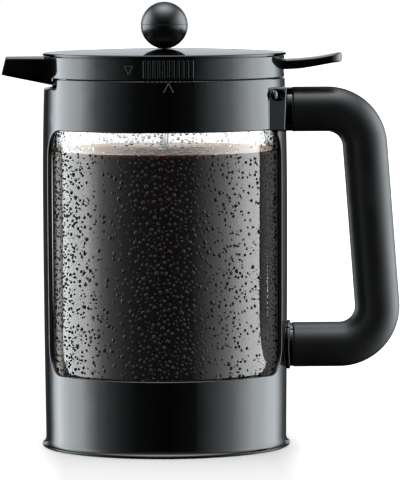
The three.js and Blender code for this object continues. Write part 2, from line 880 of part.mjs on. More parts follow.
function leverSlot() {
  const drop = (bandRadius - pivotX) * Math.sin(leverTravel * degree);
  const bottom = bandBottomZ + leverRootRise - drop - gap;
  const top = bandBottomZ + leverRootRise + leverRootHeight + gap;
  const half = leverWidth / 2 + gap;
  return box([ledgeInnerRadius - overrun, -half, bottom], [bandRadius + overrun, half, top]);
}

function pinEars() {
  const inner = leverBarrelLength / 2 + gap;
  const foot = pinEarWidth / 2;
  const shape = outline([
    [pivotX - foot, deckTopZ - deckThickness / 2], [pivotX + foot, deckTopZ - deckThickness / 2],
    [pivotX + foot, pivotZ], [pivotX + foot / 2, pivotZ + pinBossRound],
    [pivotX - foot / 2, pivotZ + pinBossRound], [pivotX - foot, pivotZ],
  ]);
  const whole = slab(shape, inner + pinEarThickness);
  const between = box(
    [pivotX - pinEarWidth, -inner, deckTopZ],
    [pivotX + pinEarWidth, inner, capUnderZ],
  );
  const lower = box(
    [pivotX - pinEarWidth, -inner, deckBottomZ],
    [pivotX + pinEarWidth, inner, deckTopZ],
  );
  const bore = rodBetween(
    [pivotX, -inner - pinEarThickness - overrun, pivotZ],
    [pivotX, inner + pinEarThickness + overrun, pivotZ],
    pinRadius + gap,
    tinySegments,
  );
  return cut(whole, between, lower, bore);
}

function lidLugs() {
  const bottom = guideBottomZ + lugRise;
  return lugAngles().map((angle) => sector(
    anglesBetween(angle - lugHalfAngle, angle + lugHalfAngle),
    () => [guideRadius - lugReach, guideRadius + lugReach, bottom, bottom + lugHeight],
  ));
}

function makeLidBase() {
  const seat = tube(pourHoleRadius, pourHoleRadius + seatWidth, deckTopZ - deckThickness / 2, seatTopZ);
  const pourHole = disc(pourHoleRadius, deckBottomZ - overrun, seatTopZ + overrun);
  const bushRecess = disc(
    bushRadius + gap,
    deckBottomZ - guideTubeDrop - overrun,
    deckBottomZ - guideTubeDrop + bushHeight + gap,
  );
  const body = joined(
    revolve(lidProfile()), spoutOuter(), ...gripRibs(), ...lidLugs(), pinEars(),
    seat.translate(-pourHolePlace, 0, 0),
  );
  return cut(body, spoutChannel(), leverSlot(), pourHole.translate(-pourHolePlace, 0, 0), bushRecess);
}

function makeLidSeal() {
  const middle = plugBottomZ + sealRise;
  const outer = jugInnerRadius - gap;
  const inner = outer - sealSection;
  const half = sealHeight / 2;
  const bevel = sealSection / 2;
  return revolve([
    [inner, middle - half], [outer, middle - bevel], [outer, middle + bevel], [inner, middle + half],
  ]);
}

function makeRodBush() {
  const bottom = deckBottomZ - guideTubeDrop;
  return tube(rodBoreRadius, bushRadius, bottom, bottom + bushHeight);
}

// Lid cap: a shallow dome that closes the lid over the lever and the valve

function capTopPoints(from, to, drop) {
  return Array.from({ length: capSteps + 1 }, (unused, i) => {
    const radius = from + (to - from) * i / capSteps;
    const share = radius / (capRadius - capEdgeRound);
    return [radius, capApexZ - drop - capRise * share ** 2];
  });
}

function makeLidCap() {
  const seatOuter = bandInnerRadius + capSeatWidth;
  const ringOuter = bandInnerRadius - gap;
  const ringInner = ringOuter - capRingWidth;
  const ribBottom = capCeilingZ - capRibHeight;
  const ribTop = capCeilingZ + gap;
  const shell = revolve([
    [rodBoreRadius, capCeilingZ],
    ...capTopPoints(rodBoreRadius, ringInner, capShell).slice(1, -1),
    [ringInner, capUnderZ],
    [ringInner, capUnderZ - capRingHeight],
    [ringOuter, capUnderZ - capRingHeight],
    [ringOuter, bandTopZ],
    [seatOuter, bandTopZ],
    [seatOuter, capUnderZ],
    [capRadius - capEdgeRound, capUnderZ],
    [capRadius, capUnderZ + capEdgeRound],
    [capRadius, capEdgeTopZ - capEdgeRound],
    ...capTopPoints(rodBoreRadius, capRadius - capEdgeRound, 0).reverse(),
  ]);
  const half = capRibThickness / 2;
  const rib = box([capRibInnerRadius, -half, ribBottom], [capRibOuterRadius, half, ribTop]);
  const ribs = Array.from({ length: capRibCount }, (unused, i) => (
    rib.rotate([0, 0, (i + 1 / 2) * 360 / capRibCount])
  ));
  return joined(shell, ...ribs);
}

// Thumb lever: blade, root through the slot, pivot barrel, arm and ring round the rod guide

const leverTopShares = [[0, 0], [0.25, 0.1], [0.45, 0.22], [0.65, 0.45], [0.8, 0.68], [1, 1]];
const leverUnderShares = [[0, 0], [0.25, 0.08], [0.45, 0.32], [0.65, 0.6], [0.8, 0.82], [1, 1]];

function leverArmBottomZ() {
  return seatTopZ + gap + valvePadThickness;
}

function leverSide() {
  const rootBottom = bandBottomZ + leverRootRise;
  const rootTop = rootBottom + leverRootHeight;
  const tipTop = rootTop + leverTipRise;
  const tipBottom = tipTop - leverTipThickness;
  const armBottom = leverArmBottomZ();
  const armEnd = -(pourHolePlace + valvePadRadius);
  const padInner = valvePadRadius - pourHolePlace;
  const blade = (shares, low, high) => shares.map(([out, up]) => [
    bandRadius + leverReach * out, low + (high - low) * up,
  ]);
  return outline([
    [armEnd, armBottom],
    [padInner, armBottom],
    [pivotX - leverBarrelRadius, pivotZ - leverArmThickness],
    [pivotX + leverBarrelRadius, rootBottom],
    ...blade(leverUnderShares, rootBottom, tipBottom),
    ...blade(leverTopShares, rootTop, tipTop).reverse(),
    [pivotX + leverBarrelRadius, pivotZ + leverBarrelRadius],
    [pivotX - leverBarrelRadius, pivotZ + leverArmThickness / 2],
    [padInner, armBottom + leverArmThickness],
    [armEnd, armBottom + leverArmThickness],
  ]);
}

// The ring leaves room for the rod guide as the lever tilts about its pin
function leverRingInner() {
  return guideTubeRadius + leverRingMargin;
}

function leverPlan() {
  const half = leverWidth / 2;
  const armHalf = leverArmWidth / 2;
  const tipX = bandRadius + leverReach;
  const shoulderX = ledgeInnerRadius - overrun + gap;
  const blade = new THREE.Shape();
  blade.moveTo(-pourHolePlace, -armHalf);
  blade.lineTo(pivotX, -armHalf);
  blade.lineTo(shoulderX, -half);
  blade.lineTo(tipX - leverTipRound, -half);
  blade.absarc(tipX - leverTipRound, leverTipRound - half, leverTipRound, -Math.PI / 2, 0);
  blade.absarc(tipX - leverTipRound, half - leverTipRound, leverTipRound, 0, Math.PI / 2);
  blade.lineTo(shoulderX, half);
  blade.lineTo(pivotX, armHalf);
  blade.lineTo(-pourHolePlace, armHalf);
  blade.closePath();
  const [bottom, top] = [deckTopZ, capApexZ];
  const ring = disc(leverRingInner() + leverRingWidth, bottom, top);
  const pad = disc(valvePadRadius, bottom, top).translate(-pourHolePlace, 0, 0);
  const whole = joined(plate(blade, bottom, top), ring, pad);
  return cut(whole, disc(leverRingInner(), bottom - overrun, top + overrun));
}

function makeThumbLever() {
  const form = shared(slab(leverSide(), leverWidth), leverPlan());
  const barrelHalf = leverBarrelLength / 2;
  const barrel = rodBetween([pivotX, -barrelHalf, pivotZ], [pivotX, barrelHalf, pivotZ], leverBarrelRadius);
  const bore = rodBetween(
    [pivotX, -leverWidth, pivotZ], [pivotX, leverWidth, pivotZ], pinRadius + gap, tinySegments,
  );
  const earSpace = [-1, 1].map((side) => {
    const near = side * barrelHalf;
    const far = side * leverWidth;
    const reach = pinEarWidth / 2 + overrun;
    return box(
      [pivotX - reach, Math.min(near, far), deckTopZ],
      [pivotX + reach, Math.max(near, far), capUnderZ],
    );
  });
  return cut(joined(form, barrel), bore, ...earSpace);
}

function makeValvePad() {
  const top = leverArmBottomZ();
  return disc(valvePadRadius, top - valvePadThickness, top).translate(-pourHolePlace, 0, 0);
}

function makeLeverPin() {
  const half = leverBarrelLength / 2 + gap + pinEarThickness;
  return rodBetween([pivotX, -half, pivotZ], [pivotX, half, pivotZ], pinRadius, tinySegments);
}

// The return spring: an open coil between the arm and the cap
function makeLeverSpring() {
  const bottom = leverArmBottomZ() + springSeatRise;
  const top = capCeilingZ - capRise * (springPlace / capRadius) ** 2 - gap - springWireRadius;
  const steps = springTurns * springSteps;
  const rings = Array.from({ length: steps + 1 }, (unused, i) => {
    const angle = 360 * i / springSteps;
    const height = bottom + (top - bottom) * i / steps;
    return Array.from({ length: springSides }, (none, side) => {
      const way = 2 * Math.PI * side / springSides;
      const out = springRadius + springWireRadius * Math.cos(way);
      const [x, y, z] = around(out, angle, height + springWireRadius * Math.sin(way));
      return [x - springPlace, y, z];
    });
  });
  return loft(rings);
}

// Knob, rod and filter

function knobArc(from, to) {
  return Array.from({ length: knobSteps + 1 }, (unused, i) => {
    const angle = from + (to - from) * i / knobSteps;
    return [knobRadius * Math.cos(angle), knobCentreZ + knobRadius * Math.sin(angle)];
  });
}

function makeKnobLower() {
  const boreZ = knobBottomZ + knobBoreFloor;
  const neckAngle = -Math.acos(knobNeckRadius / knobRadius);
  return revolve([
    [rodBoreRadius, knobBottomZ], [knobNeckRadius, knobBottomZ], ...knobArc(neckAngle, 0),
    [insertRadius + gap, knobCentreZ], [insertRadius + gap, boreZ], [rodBoreRadius, boreZ],
  ], smallSegments);
}

function makeKnobUpper() {
  const boreZ = knobCentreZ + insertRise + gap;
  return revolve([
    [insertRadius + gap, knobCentreZ], ...knobArc(0, Math.PI / 2).slice(0, -1),
    [0, knobCentreZ + knobRadius], [0, boreZ], [insertRadius + gap, boreZ],
    [insertRadius + gap, knobCentreZ],
  ], smallSegments);
}

function makeKnobInsert() {
  const bottom = knobBottomZ + knobBoreFloor + gap;
  const top = knobCentreZ + insertRise;
  const boreTop = top - insertCap;
  return revolve([
    [0, boreTop], [rodBoreRadius, boreTop], [rodBoreRadius, bottom],
    [insertRadius, bottom], [insertRadius, top], [0, top],
  ], smallSegments);
}

const meshBottomZ = filterBottomZ + crossPlateThickness + gap;
const springPlateZ = meshBottomZ + meshThickness + gap;
const springPlateRadius = jugInnerRadius - springPlateMargin;
const hubTopZ = filterBottomZ + crossPlateThickness + crossHubHeight;

function makeRod() {
  const bottom = filterBottomZ + crossPlateThickness;
  const top = knobCentreZ + insertRise - insertCap - gap;
  return disc(rodRadius, bottom, top, smallSegments);
}

function ringOfHoles(count, ring, radius, bottom, top) {
  const hole = disc(radius, bottom - overrun, top + overrun, tinySegments);
  return Array.from({ length: count }, (unused, i) => {
    const [x, y] = around(ring, i * 360 / count, 0);
    return hole.translate(x, y, 0);
  });
}

function makeCrossPlate() {
  const top = filterBottomZ + crossPlateThickness;
  const plateDisc = disc(jugInnerRadius - crossPlateMargin, filterBottomZ, top, bodySegments / 2);
  const hub = disc(crossHubRadius, filterBottomZ, hubTopZ);
  const bore = disc(rodBoreRadius, top - gap, hubTopZ + overrun);
  const holes = ringOfHoles(crossHoleCount, crossHoleRing, crossHoleRadius, filterBottomZ, top);
  return cut(joined(plateDisc, hub), bore, ...holes);
}

function makeMesh() {
  const outer = jugInnerRadius - meshMargin;
  return tube(crossHubRadius + gap, outer, meshBottomZ, meshBottomZ + meshThickness, bodySegments / 2);
}

function makeSpringPlate() {
  const top = springPlateZ + springPlateThickness;
  const rimInner = springPlateRadius - springPlateRimWall;
  const profile = [
    [crossHubRadius + gap, springPlateZ], [springPlateRadius, springPlateZ],
    [springPlateRadius, springPlateZ + springPlateRim], [rimInner, springPlateZ + springPlateRim],
    [rimInner, top], [crossHubRadius + gap, top],
  ];
  const holes = ringOfHoles(
    springPlateHoleCount, springPlateHoleRing, springPlateHoleRadius, springPlateZ, top,
  );
  return cut(revolve(profile, bodySegments / 2), ...holes);
}

function makeEdgeSpring() {
  const ring = springPlateRadius + gap + edgeSpringRadius;
  const middle = springPlateZ + springPlateRim - edgeSpringRadius;
  const profile = Array.from({ length: springSides }, (unused, i) => {
    const angle = 2 * Math.PI * i / springSides;
    return [ring + edgeSpringRadius * Math.cos(angle), middle + edgeSpringRadius * Math.sin(angle)];
  });
  return revolve(profile, bodySegments / 2);
}

function makeRodCollar() {
  return tube(rodBoreRadius, rodCollarRadius, hubTopZ + gap, hubTopZ + gap + rodCollarHeight);
}

// Materials, one function each so that every piece carries its own

const finishes = {
  glossBlack: { color: 0x0b0c0d, roughness: 0.12, metalness: 0 },
  softBlack: { color: 0x17191b, roughness: 0.55, metalness: 0 },
  clear: { color: 0xf2f6f7, roughness: 0.03, metalness: 0, transparent: true, opacity: 0.3 },
  steel: { color: 0xc4c6c8, roughness: 0.25, metalness: 1 },
  brass: { color: 0xb08d4a, roughness: 0.35, metalness: 1 },
  silicone: { color: 0x2a2c2e, roughness: 0.7, metalness: 0 },
};

function named(name, form, finish) {
  const mesh = form.getMesh();
  const geometry = new THREE.BufferGeometry();
  geometry.setAttribute('position', new THREE.Float32BufferAttribute(mesh.vertProperties, mesh.numProp));
  geometry.setIndex(Array.from(mesh.triVerts));
  const piece = new THREE.Mesh(geometry, new THREE.MeshStandardMaterial(finishes[finish]));
  piece.name = name;
  return piece;
}

const standing = new THREE.Group();
standing.add(
  named('frame', makeFrame(), 'glossBlack'),
  named('handle_core', makeHandleCore(), 'glossBlack'),
  named('handle_grip', makeHandleGrip(), 'softBlack'),
  named('saddle_screw_front', saddleScrew(-1), 'glossBlack'),
  named('saddle_screw_back', saddleScrew(1), 'glossBlack'),
  named('handle_screw_upper', rootScrew(upperArmZ), 'steel'),
  named('handle_screw_lower', rootScrew(lowerArmZ), 'steel'),
  named('jug_cushion', makeCushion(), 'silicone'),
);

const vessel = new THREE.Group();
vessel.add(named('jug', makeJug(), 'clear'));

const lid = new THREE.Group();
lid.add(
  named('lid_seal', makeLidSeal(), 'silicone'),
  named('lid_base', makeLidBase(), 'glossBlack'),
  named('lid_cap', makeLidCap(), 'glossBlack'),
  named('rod_bush', makeRodBush(), 'silicone'),
  named('lever_pin', makeLeverPin(), 'steel'),
  named('lever_spring', makeLeverSpring(), 'steel'),
);

const lever = new THREE.Group();
lever.add(
  named('thumb_lever', makeThumbLever(), 'glossBlack'),
  named('valve_pad', makeValvePad(), 'silicone'),
);

const plunger = new THREE.Group();
plunger.add(
  named('knob_lower', makeKnobLower(), 'glossBlack'),
  named('knob_upper', makeKnobUpper(), 'glossBlack'),
  named('knob_insert', makeKnobInsert(), 'brass'),
  named('plunger_rod', makeRod(), 'steel'),
  named('rod_collar', makeRodCollar(), 'steel'),
  named('spring_plate', makeSpringPlate(), 'steel'),
  named('edge_spring', makeEdgeSpring(), 'steel'),
  named('mesh_filter', makeMesh(), 'steel'),
  named('cross_plate', makeCrossPlate(), 'steel'),
);

const group = new THREE.Group();
group.add(standing, vessel, lid, lever, plunger);

export default group;
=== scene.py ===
"""Cold brew coffee maker: gloss frame, wet clear jug of coffee, pouring lid, ball knob and soft handle.

Lengths are millimetres until a mesh is finished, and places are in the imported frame's own axes:
+Z up the jug's axis, -X to the spout, +X to the handle, -Y the front.
"""

import json
import math

import bmesh
import bpy
import numpy as np
from mathutils import Matrix, Vector
from mathutils.geometry import delaunay_2d_cdt

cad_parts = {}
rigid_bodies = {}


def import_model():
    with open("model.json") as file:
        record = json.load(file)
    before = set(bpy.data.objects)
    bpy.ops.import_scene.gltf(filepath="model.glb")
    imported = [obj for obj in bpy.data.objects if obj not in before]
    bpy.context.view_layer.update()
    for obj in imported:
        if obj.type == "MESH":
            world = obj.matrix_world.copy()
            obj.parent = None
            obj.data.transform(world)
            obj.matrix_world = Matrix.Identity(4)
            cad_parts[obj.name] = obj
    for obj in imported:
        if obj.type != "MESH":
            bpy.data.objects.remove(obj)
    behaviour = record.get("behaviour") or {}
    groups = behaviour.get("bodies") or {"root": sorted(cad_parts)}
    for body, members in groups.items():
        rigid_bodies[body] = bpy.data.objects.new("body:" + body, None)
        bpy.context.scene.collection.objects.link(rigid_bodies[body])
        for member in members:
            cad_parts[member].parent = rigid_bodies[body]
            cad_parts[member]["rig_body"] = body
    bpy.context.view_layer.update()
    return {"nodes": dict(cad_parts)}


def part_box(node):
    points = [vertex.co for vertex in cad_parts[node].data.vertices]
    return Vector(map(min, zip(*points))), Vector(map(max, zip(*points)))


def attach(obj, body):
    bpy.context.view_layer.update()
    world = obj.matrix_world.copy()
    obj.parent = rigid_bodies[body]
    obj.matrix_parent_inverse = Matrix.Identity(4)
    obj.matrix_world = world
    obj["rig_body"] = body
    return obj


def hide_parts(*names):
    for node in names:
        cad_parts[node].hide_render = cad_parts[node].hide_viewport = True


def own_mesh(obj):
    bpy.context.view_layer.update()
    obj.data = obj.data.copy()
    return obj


MM = 0.001
DEGREE = math.pi / 180

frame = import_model()


def box_of(node):
    """The lowest and highest corners of a CAD node, in millimetres."""
    low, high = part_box(node)
    return low / MM, high / MM


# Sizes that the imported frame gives
FRAME_HIGH = box_of("frame")[1]
JUG_LOW, JUG_HIGH = box_of("jug")
CAP_HIGH = box_of("lid_cap")[1]
LEVER_HIGH = box_of("thumb_lever")[1]
SPOUT_TIP_X = box_of("lid_base")[0].x
KNOB_LOW, KNOB_HIGH = box_of("knob_lower")[0], box_of("knob_upper")[1]
ROD_LOW, ROD_HIGH = box_of("plunger_rod")
JUG_RADIUS = JUG_HIGH.x
COLLAR_TOP = FRAME_HIGH.z
LIP_RADIUS = FRAME_HIGH.y

# Clearances and roundings
GAP = 0.3
SEAM = 0.4
EDGE_ROUND = 0.5
FINE_ROUND = 0.25
WELD = 0.002

# Frame moulding
WALL = 2.5
COLLAR_RADIUS = 63.0
BELLY_RADIUS = 64.2
BASE_RADIUS = 63.3
BELLY_Z = 134.0
INSIDE_SLACK = 0.1
UNDERSIDE_Z = 0.15
FLOOR_TOP_Z = 4.2
FLARE_TOP_Z = 4.9
LIP_EDGE_Z = 1.3
LIP_SHARES = [(1, 0), (0.8, 0.05), (0.6, 0.13), (0.42, 0.25), (0.27, 0.4), (0.14, 0.58), (0.05, 0.78), (0, 1)]
WINDOW_BOTTOM_Z = 39.7
WINDOW_TOP_Z = 166.9
WINDOW_CORNER = 14.0
WINDOW_ROUND = 0.75
SPOUT_STRUT_HALF = 16.1
HANDLE_STRUT_HALF = 20.5
NOTCH_DEPTH = 5.2
NOTCH_HALF = 25.7
NOTCH_CORNER = 1.8
NOTCH_LIP_CORNER = 1.2
RECESS_DEPTH = 1.2
RECESS_RIM = 9.0
RECESS_HUB = 18.3
FOOT_COUNT = 16
FOOT_RADIUS = 0.9
FOOT_INSET = 2.2
FOOT_EDGE = 0.1
FOOT_ROOT = 1.0

# Jug and what is in it
JUG_WALL = 2.3
JUG_FLOOR = 3.0
JUG_CORNER = 5.0
JUG_STEPS = 8
JUG_SPACING = 12.0
COFFEE_TOP_Z = 155.3
MENISCUS = 1.2
MENISCUS_SHARES = (1, 0.7, 0.5, 0.35, 0.2, 0.1, 0)
SKIM_LIFT = 0.02
COFFEE_SKIN = 0.12
DROP_HEIGHT_SHARE = 0.88
DROP_SEED = 7
DROP_BROAD = 0.7
DROP_FINE = 0.42
DROP_APART = 0.3
DROP_MARGIN = 2.0
DROP_MARGIN_ANGLE = 2
DROP_SIZE_POWER = 1.6
DROP_STRETCH_SHARE = 0.22
DROP_WAVER_SHARE = 0.07
DROP_SINK = 0.03
# Drops by size: how many are tried, the smallest and largest radius, and how thickly they lie by the degrees
# from the front, positive to the handle's side
DROP_KINDS = [
    (1100, 0.85, 1.15, [
        (-90, 0), (-60, 0.12), (-41, 0.25), (-20, 0.3), (-15, 1), (12, 1), (18, 0.25), (50, 0.06), (90, 0),
    ]),
    (6400, 0.52, 0.84, [
        (-90, 0.5), (-66, 0.8), (-50, 0.6), (-38, 0.2), (-20, 0.25), (-15, 1), (12, 1), (20, 0.5), (37, 0.4),
        (46, 0.14), (57, 0.2), (61, 0.9), (90, 0.9),
    ]),
    (7000, 0.24, 0.42, [
        (-90, 1), (-60, 0.5), (-50, 0.1), (-20, 0.05), (-15, 0.6), (12, 0.6), (20, 0.1), (50, 0.05), (57, 1),
        (90, 1),
    ]),
]
# How many sides a drop has, and how many rings, by its radius
DROP_FORMS = [(DROP_BROAD, 14, 5), (DROP_FINE, 10, 4), (0, 7, 2)]

# Painted light: emission on the coffee's edge that stands in for the light the clear wall brings round to it,
# by how far the coffee turns from the view
COFFEE_PAINTED_LIGHT_SPOUT_SIDE = [
    (0, 0.002), (0.19, 0.003), (0.205, 0.02), (0.214, 0.12), (0.222, 0.33), (0.236, 0.42), (0.2395, 0.4),
    (0.243, 0.13), (0.249, 0.07), (0.256, 0.04), (0.27, 0),
]
COFFEE_PAINTED_LIGHT_HANDLE_SIDE = [
    (0, 0.002), (0.175, 0.003), (0.183, 0.035), (0.2, 0.045), (0.217, 0.07), (0.235, 0.08), (0.247, 0.05),
    (0.256, 0.03), (0.27, 0),
]
COFFEE_PAINTED_LIGHT_TONE = (1, 0.95, 0.9)
# Painted light: the coffee's top glows lighter towards the sides and the back, by the distance in metres from
# the axis
SKIM_PAINTED_LIGHT = [(0, 0.03), (0.012, 0.05), (0.034, 0.3), (0.05, 0.36), (1, 0.36)]
SKIM_PAINTED_BACK_LIGHT = [(-1, 0), (-0.03, 0), (0.01, 0.06), (0.05, 0.5), (1, 0.5)]
SKIM_PAINTED_LIGHT_TONE = (1, 0.84, 0.72)
# Painted light: the coffee's colour turns to a lighter warm tone over its top COFFEE_RIM millimetres
COFFEE_RIM = 1.6
COFFEE_RIM_PAINTED_LIGHT_TONE = (0.085, 0.022, 0.009)

# Lid
BAND_BOTTOM_Z = COLLAR_TOP + SEAM
BAND_HEIGHT = 10.9
BAND_TOP_Z = BAND_BOTTOM_Z + BAND_HEIGHT
BAND_RADIUS = COLLAR_RADIUS - 0.1
BAND_WALL = 2.2
GUIDE_RADIUS = 59.0
LID_INSIDE_RADIUS = 61.0
CAP_UNDER_Z = BAND_TOP_Z + SEAM
CAP_EDGE_HEIGHT = 1.3
CAP_RISE = 2.0
CAP_SHELL = 1.8
CAP_UNDER_DROP = 0.6
CAP_TOP_STEPS = 14
CAP_BORE_MARGIN = 2.0
CAP_EDGE_INSET = 1.2
CAP_EDGE_RISE = 0.06
CAP_EDGE_DROP = 0.02
CAP_TOP_ROUND = 0.55
CAP_UNDER_ROUND = 0.3
CAP_OVERHANG = 3.0
CAP_SKIRT_HEIGHT = 1.6
CAP_SKIRT_INSET = 2.2
# How strongly the dome mirrors: it stays dark seen from its sides, and mirrors the backdrop edge on
DOME_SHINE = [(0, 0.5), (0.45, 0.5), (0.58, 0.0006), (0.89, 0.0006), (0.94, 0.5), (1, 0.5)]
CAP_RADIUS = CAP_HIGH.x
GRIP_RIB_COUNT = 11
GRIP_RIB_PITCH = 2.44
GRIP_RIB_WIDTH = 1.35
GRIP_RIB_REACH = 0.8
GRIP_RIB_MARGIN = 0.8
GRIP_RIB_ROOT = 1.0
SLOT_BELOW = 2.2
SLOT_CORNER = 0.8
MOUTH_SILL = 1.5
MOUTH_CORNER = 1.0

# Spout
SPOUT_TOP_HALF = 10.0
SPOUT_TIP_HALF = 6.4
SPOUT_TIP_RAKE = 2.4
SPOUT_TIP_HEIGHT = 9.5
SPOUT_ROOT_DROP = 4.1
SPOUT_ROOT_HALF = 6.76
SPOUT_KEEL_SHARE = 0.6
SPOUT_KEEL_FLAT_SHARE = 0.9
SPOUT_BEND_RISE = 2.4
SPOUT_TOP_CORNER = 2.0
SPOUT_SIDE_CORNER = 6.0
SPOUT_KEEL_CORNER = 2.2
SPOUT_TOP_GAP = 0.02
SPOUT_WALL = 1.8
SPOUT_MOUTH_ROUND = 0.5
# Stations along the spout, as shares of its length, and how far in each lies from its outside
SPOUT_STATIONS = [(0, 0), (0.2, 0), (0.4, 0), (0.6, 0), (0.8, 0), (0.96, 0), (0.985, 0.06), (0.996, 0.2)]

# Thumb lever
LEVER_WIDTH = 19.0
LEVER_TIP_ROUND = 7.0
LEVER_ROOT_Z = 197.5
LEVER_ROOT_HEIGHT = 5.2
LEVER_TIP_THICKNESS = 5.1
LEVER_EDGE = 1.3
LEVER_EDGE_SHARE = 0.96
LEVER_LEAST_EDGE = 0.1
LEVER_TIP_RISE = 3.7
LEVER_KEPT_DEPTH = 2.0
LEVER_ROOT_DEPTH = 5.0
LEVER_STEPS = 16
LEVER_TOP_SHARES = [(0, 0), (0.25, 0.1), (0.45, 0.22), (0.65, 0.45), (0.8, 0.68), (1, 1)]
LEVER_UNDER_SHARES = [(0, 0), (0.25, 0.08), (0.45, 0.32), (0.65, 0.6), (0.8, 0.82), (1, 1)]

# Knob and rod
KNOB_RADIUS = KNOB_HIGH.x
KNOB_NECK_RADIUS = ROD_HIGH.x + 0.8
KNOB_FOOT_DROP = 0.27
KNOB_STEPS = 40
INSERT_ROOM_RADIUS = 4.3
INSERT_SILL = 1.8
INSERT_ROOM_RISE = 3.4
PARTING_RISE = 0.5
PARTING_HALF = 0.04
PARTING_ROUND = 0.16
PARTING_DEPTH = 0.09
ROD_RADIUS = ROD_HIGH.x

# Handle
ROOT_PLATE_THICKNESS = 1.4
SADDLE_HEIGHT = 22.2
SADDLE_TOP_DIP = 1.8
SADDLE_HALF_ANGLE = 34.7
SADDLE_TOP_HALF_ANGLE = 32.9
SADDLE_SIDE_TURN = 18
SADDLE_SIDE_DEPTH = 9.7
SADDLE_BACK_THICKNESS = 0.3
SADDLE_BACK_SHARE = 0.85
SADDLE_BACK_STEPS = 15
SADDLE_ROOT_SINK = 1.4
SADDLE_INNER_DEPTH = 1.2
SADDLE_INNER_MARGIN = 2.0
SADDLE_INNER_STEPS = 13
SADDLE_SLACK = 0.5
SADDLE_CORNER = 3.0
SADDLE_EDGE = 0.9
SADDLE_EDGE_STEPS = 6
SADDLE_SIDE_STEPS = 4
SADDLE_CORNER_STEPS = 5
SADDLE_SCREW_INSET = 5.2
SADDLE_SCREW_ANGLE = SADDLE_HALF_ANGLE - SADDLE_SCREW_INSET / COLLAR_RADIUS / DEGREE
SADDLE_SCREW_DROP = 8.5
SADDLE_SCREW_SEAT = 0.5
SCREW_HEAD_RADIUS = 2.9
SCREW_HEAD_HEIGHT = 2.0
SCREW_SHANK_RADIUS = 1.4
SCREW_SHANK_LENGTH = 2.2
SCREW_EDGE = 0.1
SCREW_DOME_STEPS = 12
SCREW_ROOM_HEIGHT = 9.0
SCREW_LUG_DEPTH = 2.0
ROOT_PLATE_RADIUS = 12.9
NECK_RADIUS = 11.5
GRIP_RADIUS = 11.8
GRIP_WALL = 2.4
GRIP_END_ROUND = 1.1
UPPER_ARM_Z = COLLAR_TOP - 17.1
LOWER_ARM_Z = WINDOW_BOTTOM_Z + 12.55
NECK_END_X = COLLAR_RADIUS + 3.5
LEG_TOP_X = COLLAR_RADIUS + 40.9
LEG_BOTTOM_X = COLLAR_RADIUS + 50.2
GRIP_BEND = 20.0
GRIP_BEND_STEPS = 20
GRIP_STEP = 4.0
GRIP_END_SHARES = (0.05, 0.15, 0.3, 0.5, 0.75, 1)
NECK_OVERLAP = 0.2
NECK_EDGE = 0.3
CORE_OVERLAP = 1.0

# Alignment marks: an outlined triangle on the lid's band, a caret on the collar
TRIANGLE_ANGLE = -108.75
TRIANGLE_WIDTH = 4.3
TRIANGLE_HEIGHT = 4.4
TRIANGLE_TOP_Z = 201.1
CARET_WIDTH = 5.0
CARET_HEIGHT = 4.8
CARET_TOP_Z = 192.4
MARK_STROKE = 0.34
MARK_REACH = 0.1
MARK_SINK = 0.2
MARK_STEPS = 5
MARK_FLAT_SHARE = 0.6
# A stroke's section, as shares of half its width, with how far out each point lies
MARK_SECTION = [
    (-1, -MARK_SINK), (-1, MARK_REACH * MARK_FLAT_SHARE), (-MARK_FLAT_SHARE, MARK_REACH),
    (MARK_FLAT_SHARE, MARK_REACH), (1, MARK_REACH * MARK_FLAT_SHARE), (1, -MARK_SINK),
]

# How finely forms are drawn
AROUND = 144
AROUND_KNOB = 96
AROUND_NECK = 64
AROUND_ROD = 48
AROUND_SCREW = 40
AROUND_CORE = 16
AROUND_SMALL = 12
WALL_STEP = 3.2
ROUND_STEPS = 4
CORNER_STEPS = 10
EASE_STEPS = 60
EASE_REACH = 5
BLOCK_EDGE_SHARE = 0.9
BLOCK_STEPS = 2
PIECE_SHARP = 50
NODE_SHARP = 40

# Camera: where the photograph was taken from
IMAGE_HEIGHT = 480
FOCAL_PIXELS = 4027
SENSOR = 36.0
CAMERA_DISTANCE = 2112.6
CAMERA_HEIGHT = 263.3
CAMERA_AZIMUTH = 1.8
CAMERA_ASIDE = 0.494
CAMERA_TILT = 4.21
CAMERA_ROLL = -0.25
CLIP_END = 100


def around(radius, degrees, height):
    angle = degrees * DEGREE
    return Vector((radius * math.cos(angle), radius * math.sin(angle), height))


def left_of(way):
    return Vector((-way.y, way.x))


def quarter(steps):
    """(cosine, sine) pairs over a quarter turn."""
    angles = [math.pi / 2 * step / steps for step in range(steps + 1)]
    return [(math.cos(angle), math.sin(angle)) for angle in angles]


def rounded(corners, closed=True, offset=0.0, steps=ROUND_STEPS, spacing=None):
    """The line through corners (x, y, radius), with its corners rounded, moved to its left by offset."""
    count = len(corners)
    places = [Vector(corner[:2]) for corner in corners]
    spans = count if closed else count - 1
    ways = [(places[(i + 1) % count] - places[i]).normalized() for i in range(spans)]
    arcs = []
    for i, corner in enumerate(corners):
        at_end = not closed and i in (0, count - 1)
        before, after = (ways[0 if i == 0 else -1],) * 2 if at_end else (ways[i - 1], ways[i])
        halfway = (left_of(before) + left_of(after)).normalized()
        place = places[i] + halfway * (offset / halfway.dot(left_of(after)))
        turn = math.atan2(before.x * after.y - before.y * after.x, before.dot(after))
        radius = corner[2] if len(corner) > 2 else 0
        if at_end or radius <= 0:
            arcs.append([place])
            continue
        radius = max(radius - math.copysign(offset, turn), FINE_ROUND / 5)
        start = place - before * radius * math.tan(abs(turn) / 2)
        centre = start + left_of(before) * math.copysign(radius, turn)
        arcs.append([
            centre + Matrix.Rotation(turn * k / steps, 2) @ (start - centre) for k in range(steps + 1)
        ])
    line = []
    for i in range(count):
        line += arcs[i]
        if i < spans and spacing:
            runs = max(1, round((places[(i + 1) % count] - places[i]).length / spacing))
            line += [arcs[i][-1].lerp(arcs[(i + 1) % count][0], k / runs) for k in range(1, runs)]
    return line


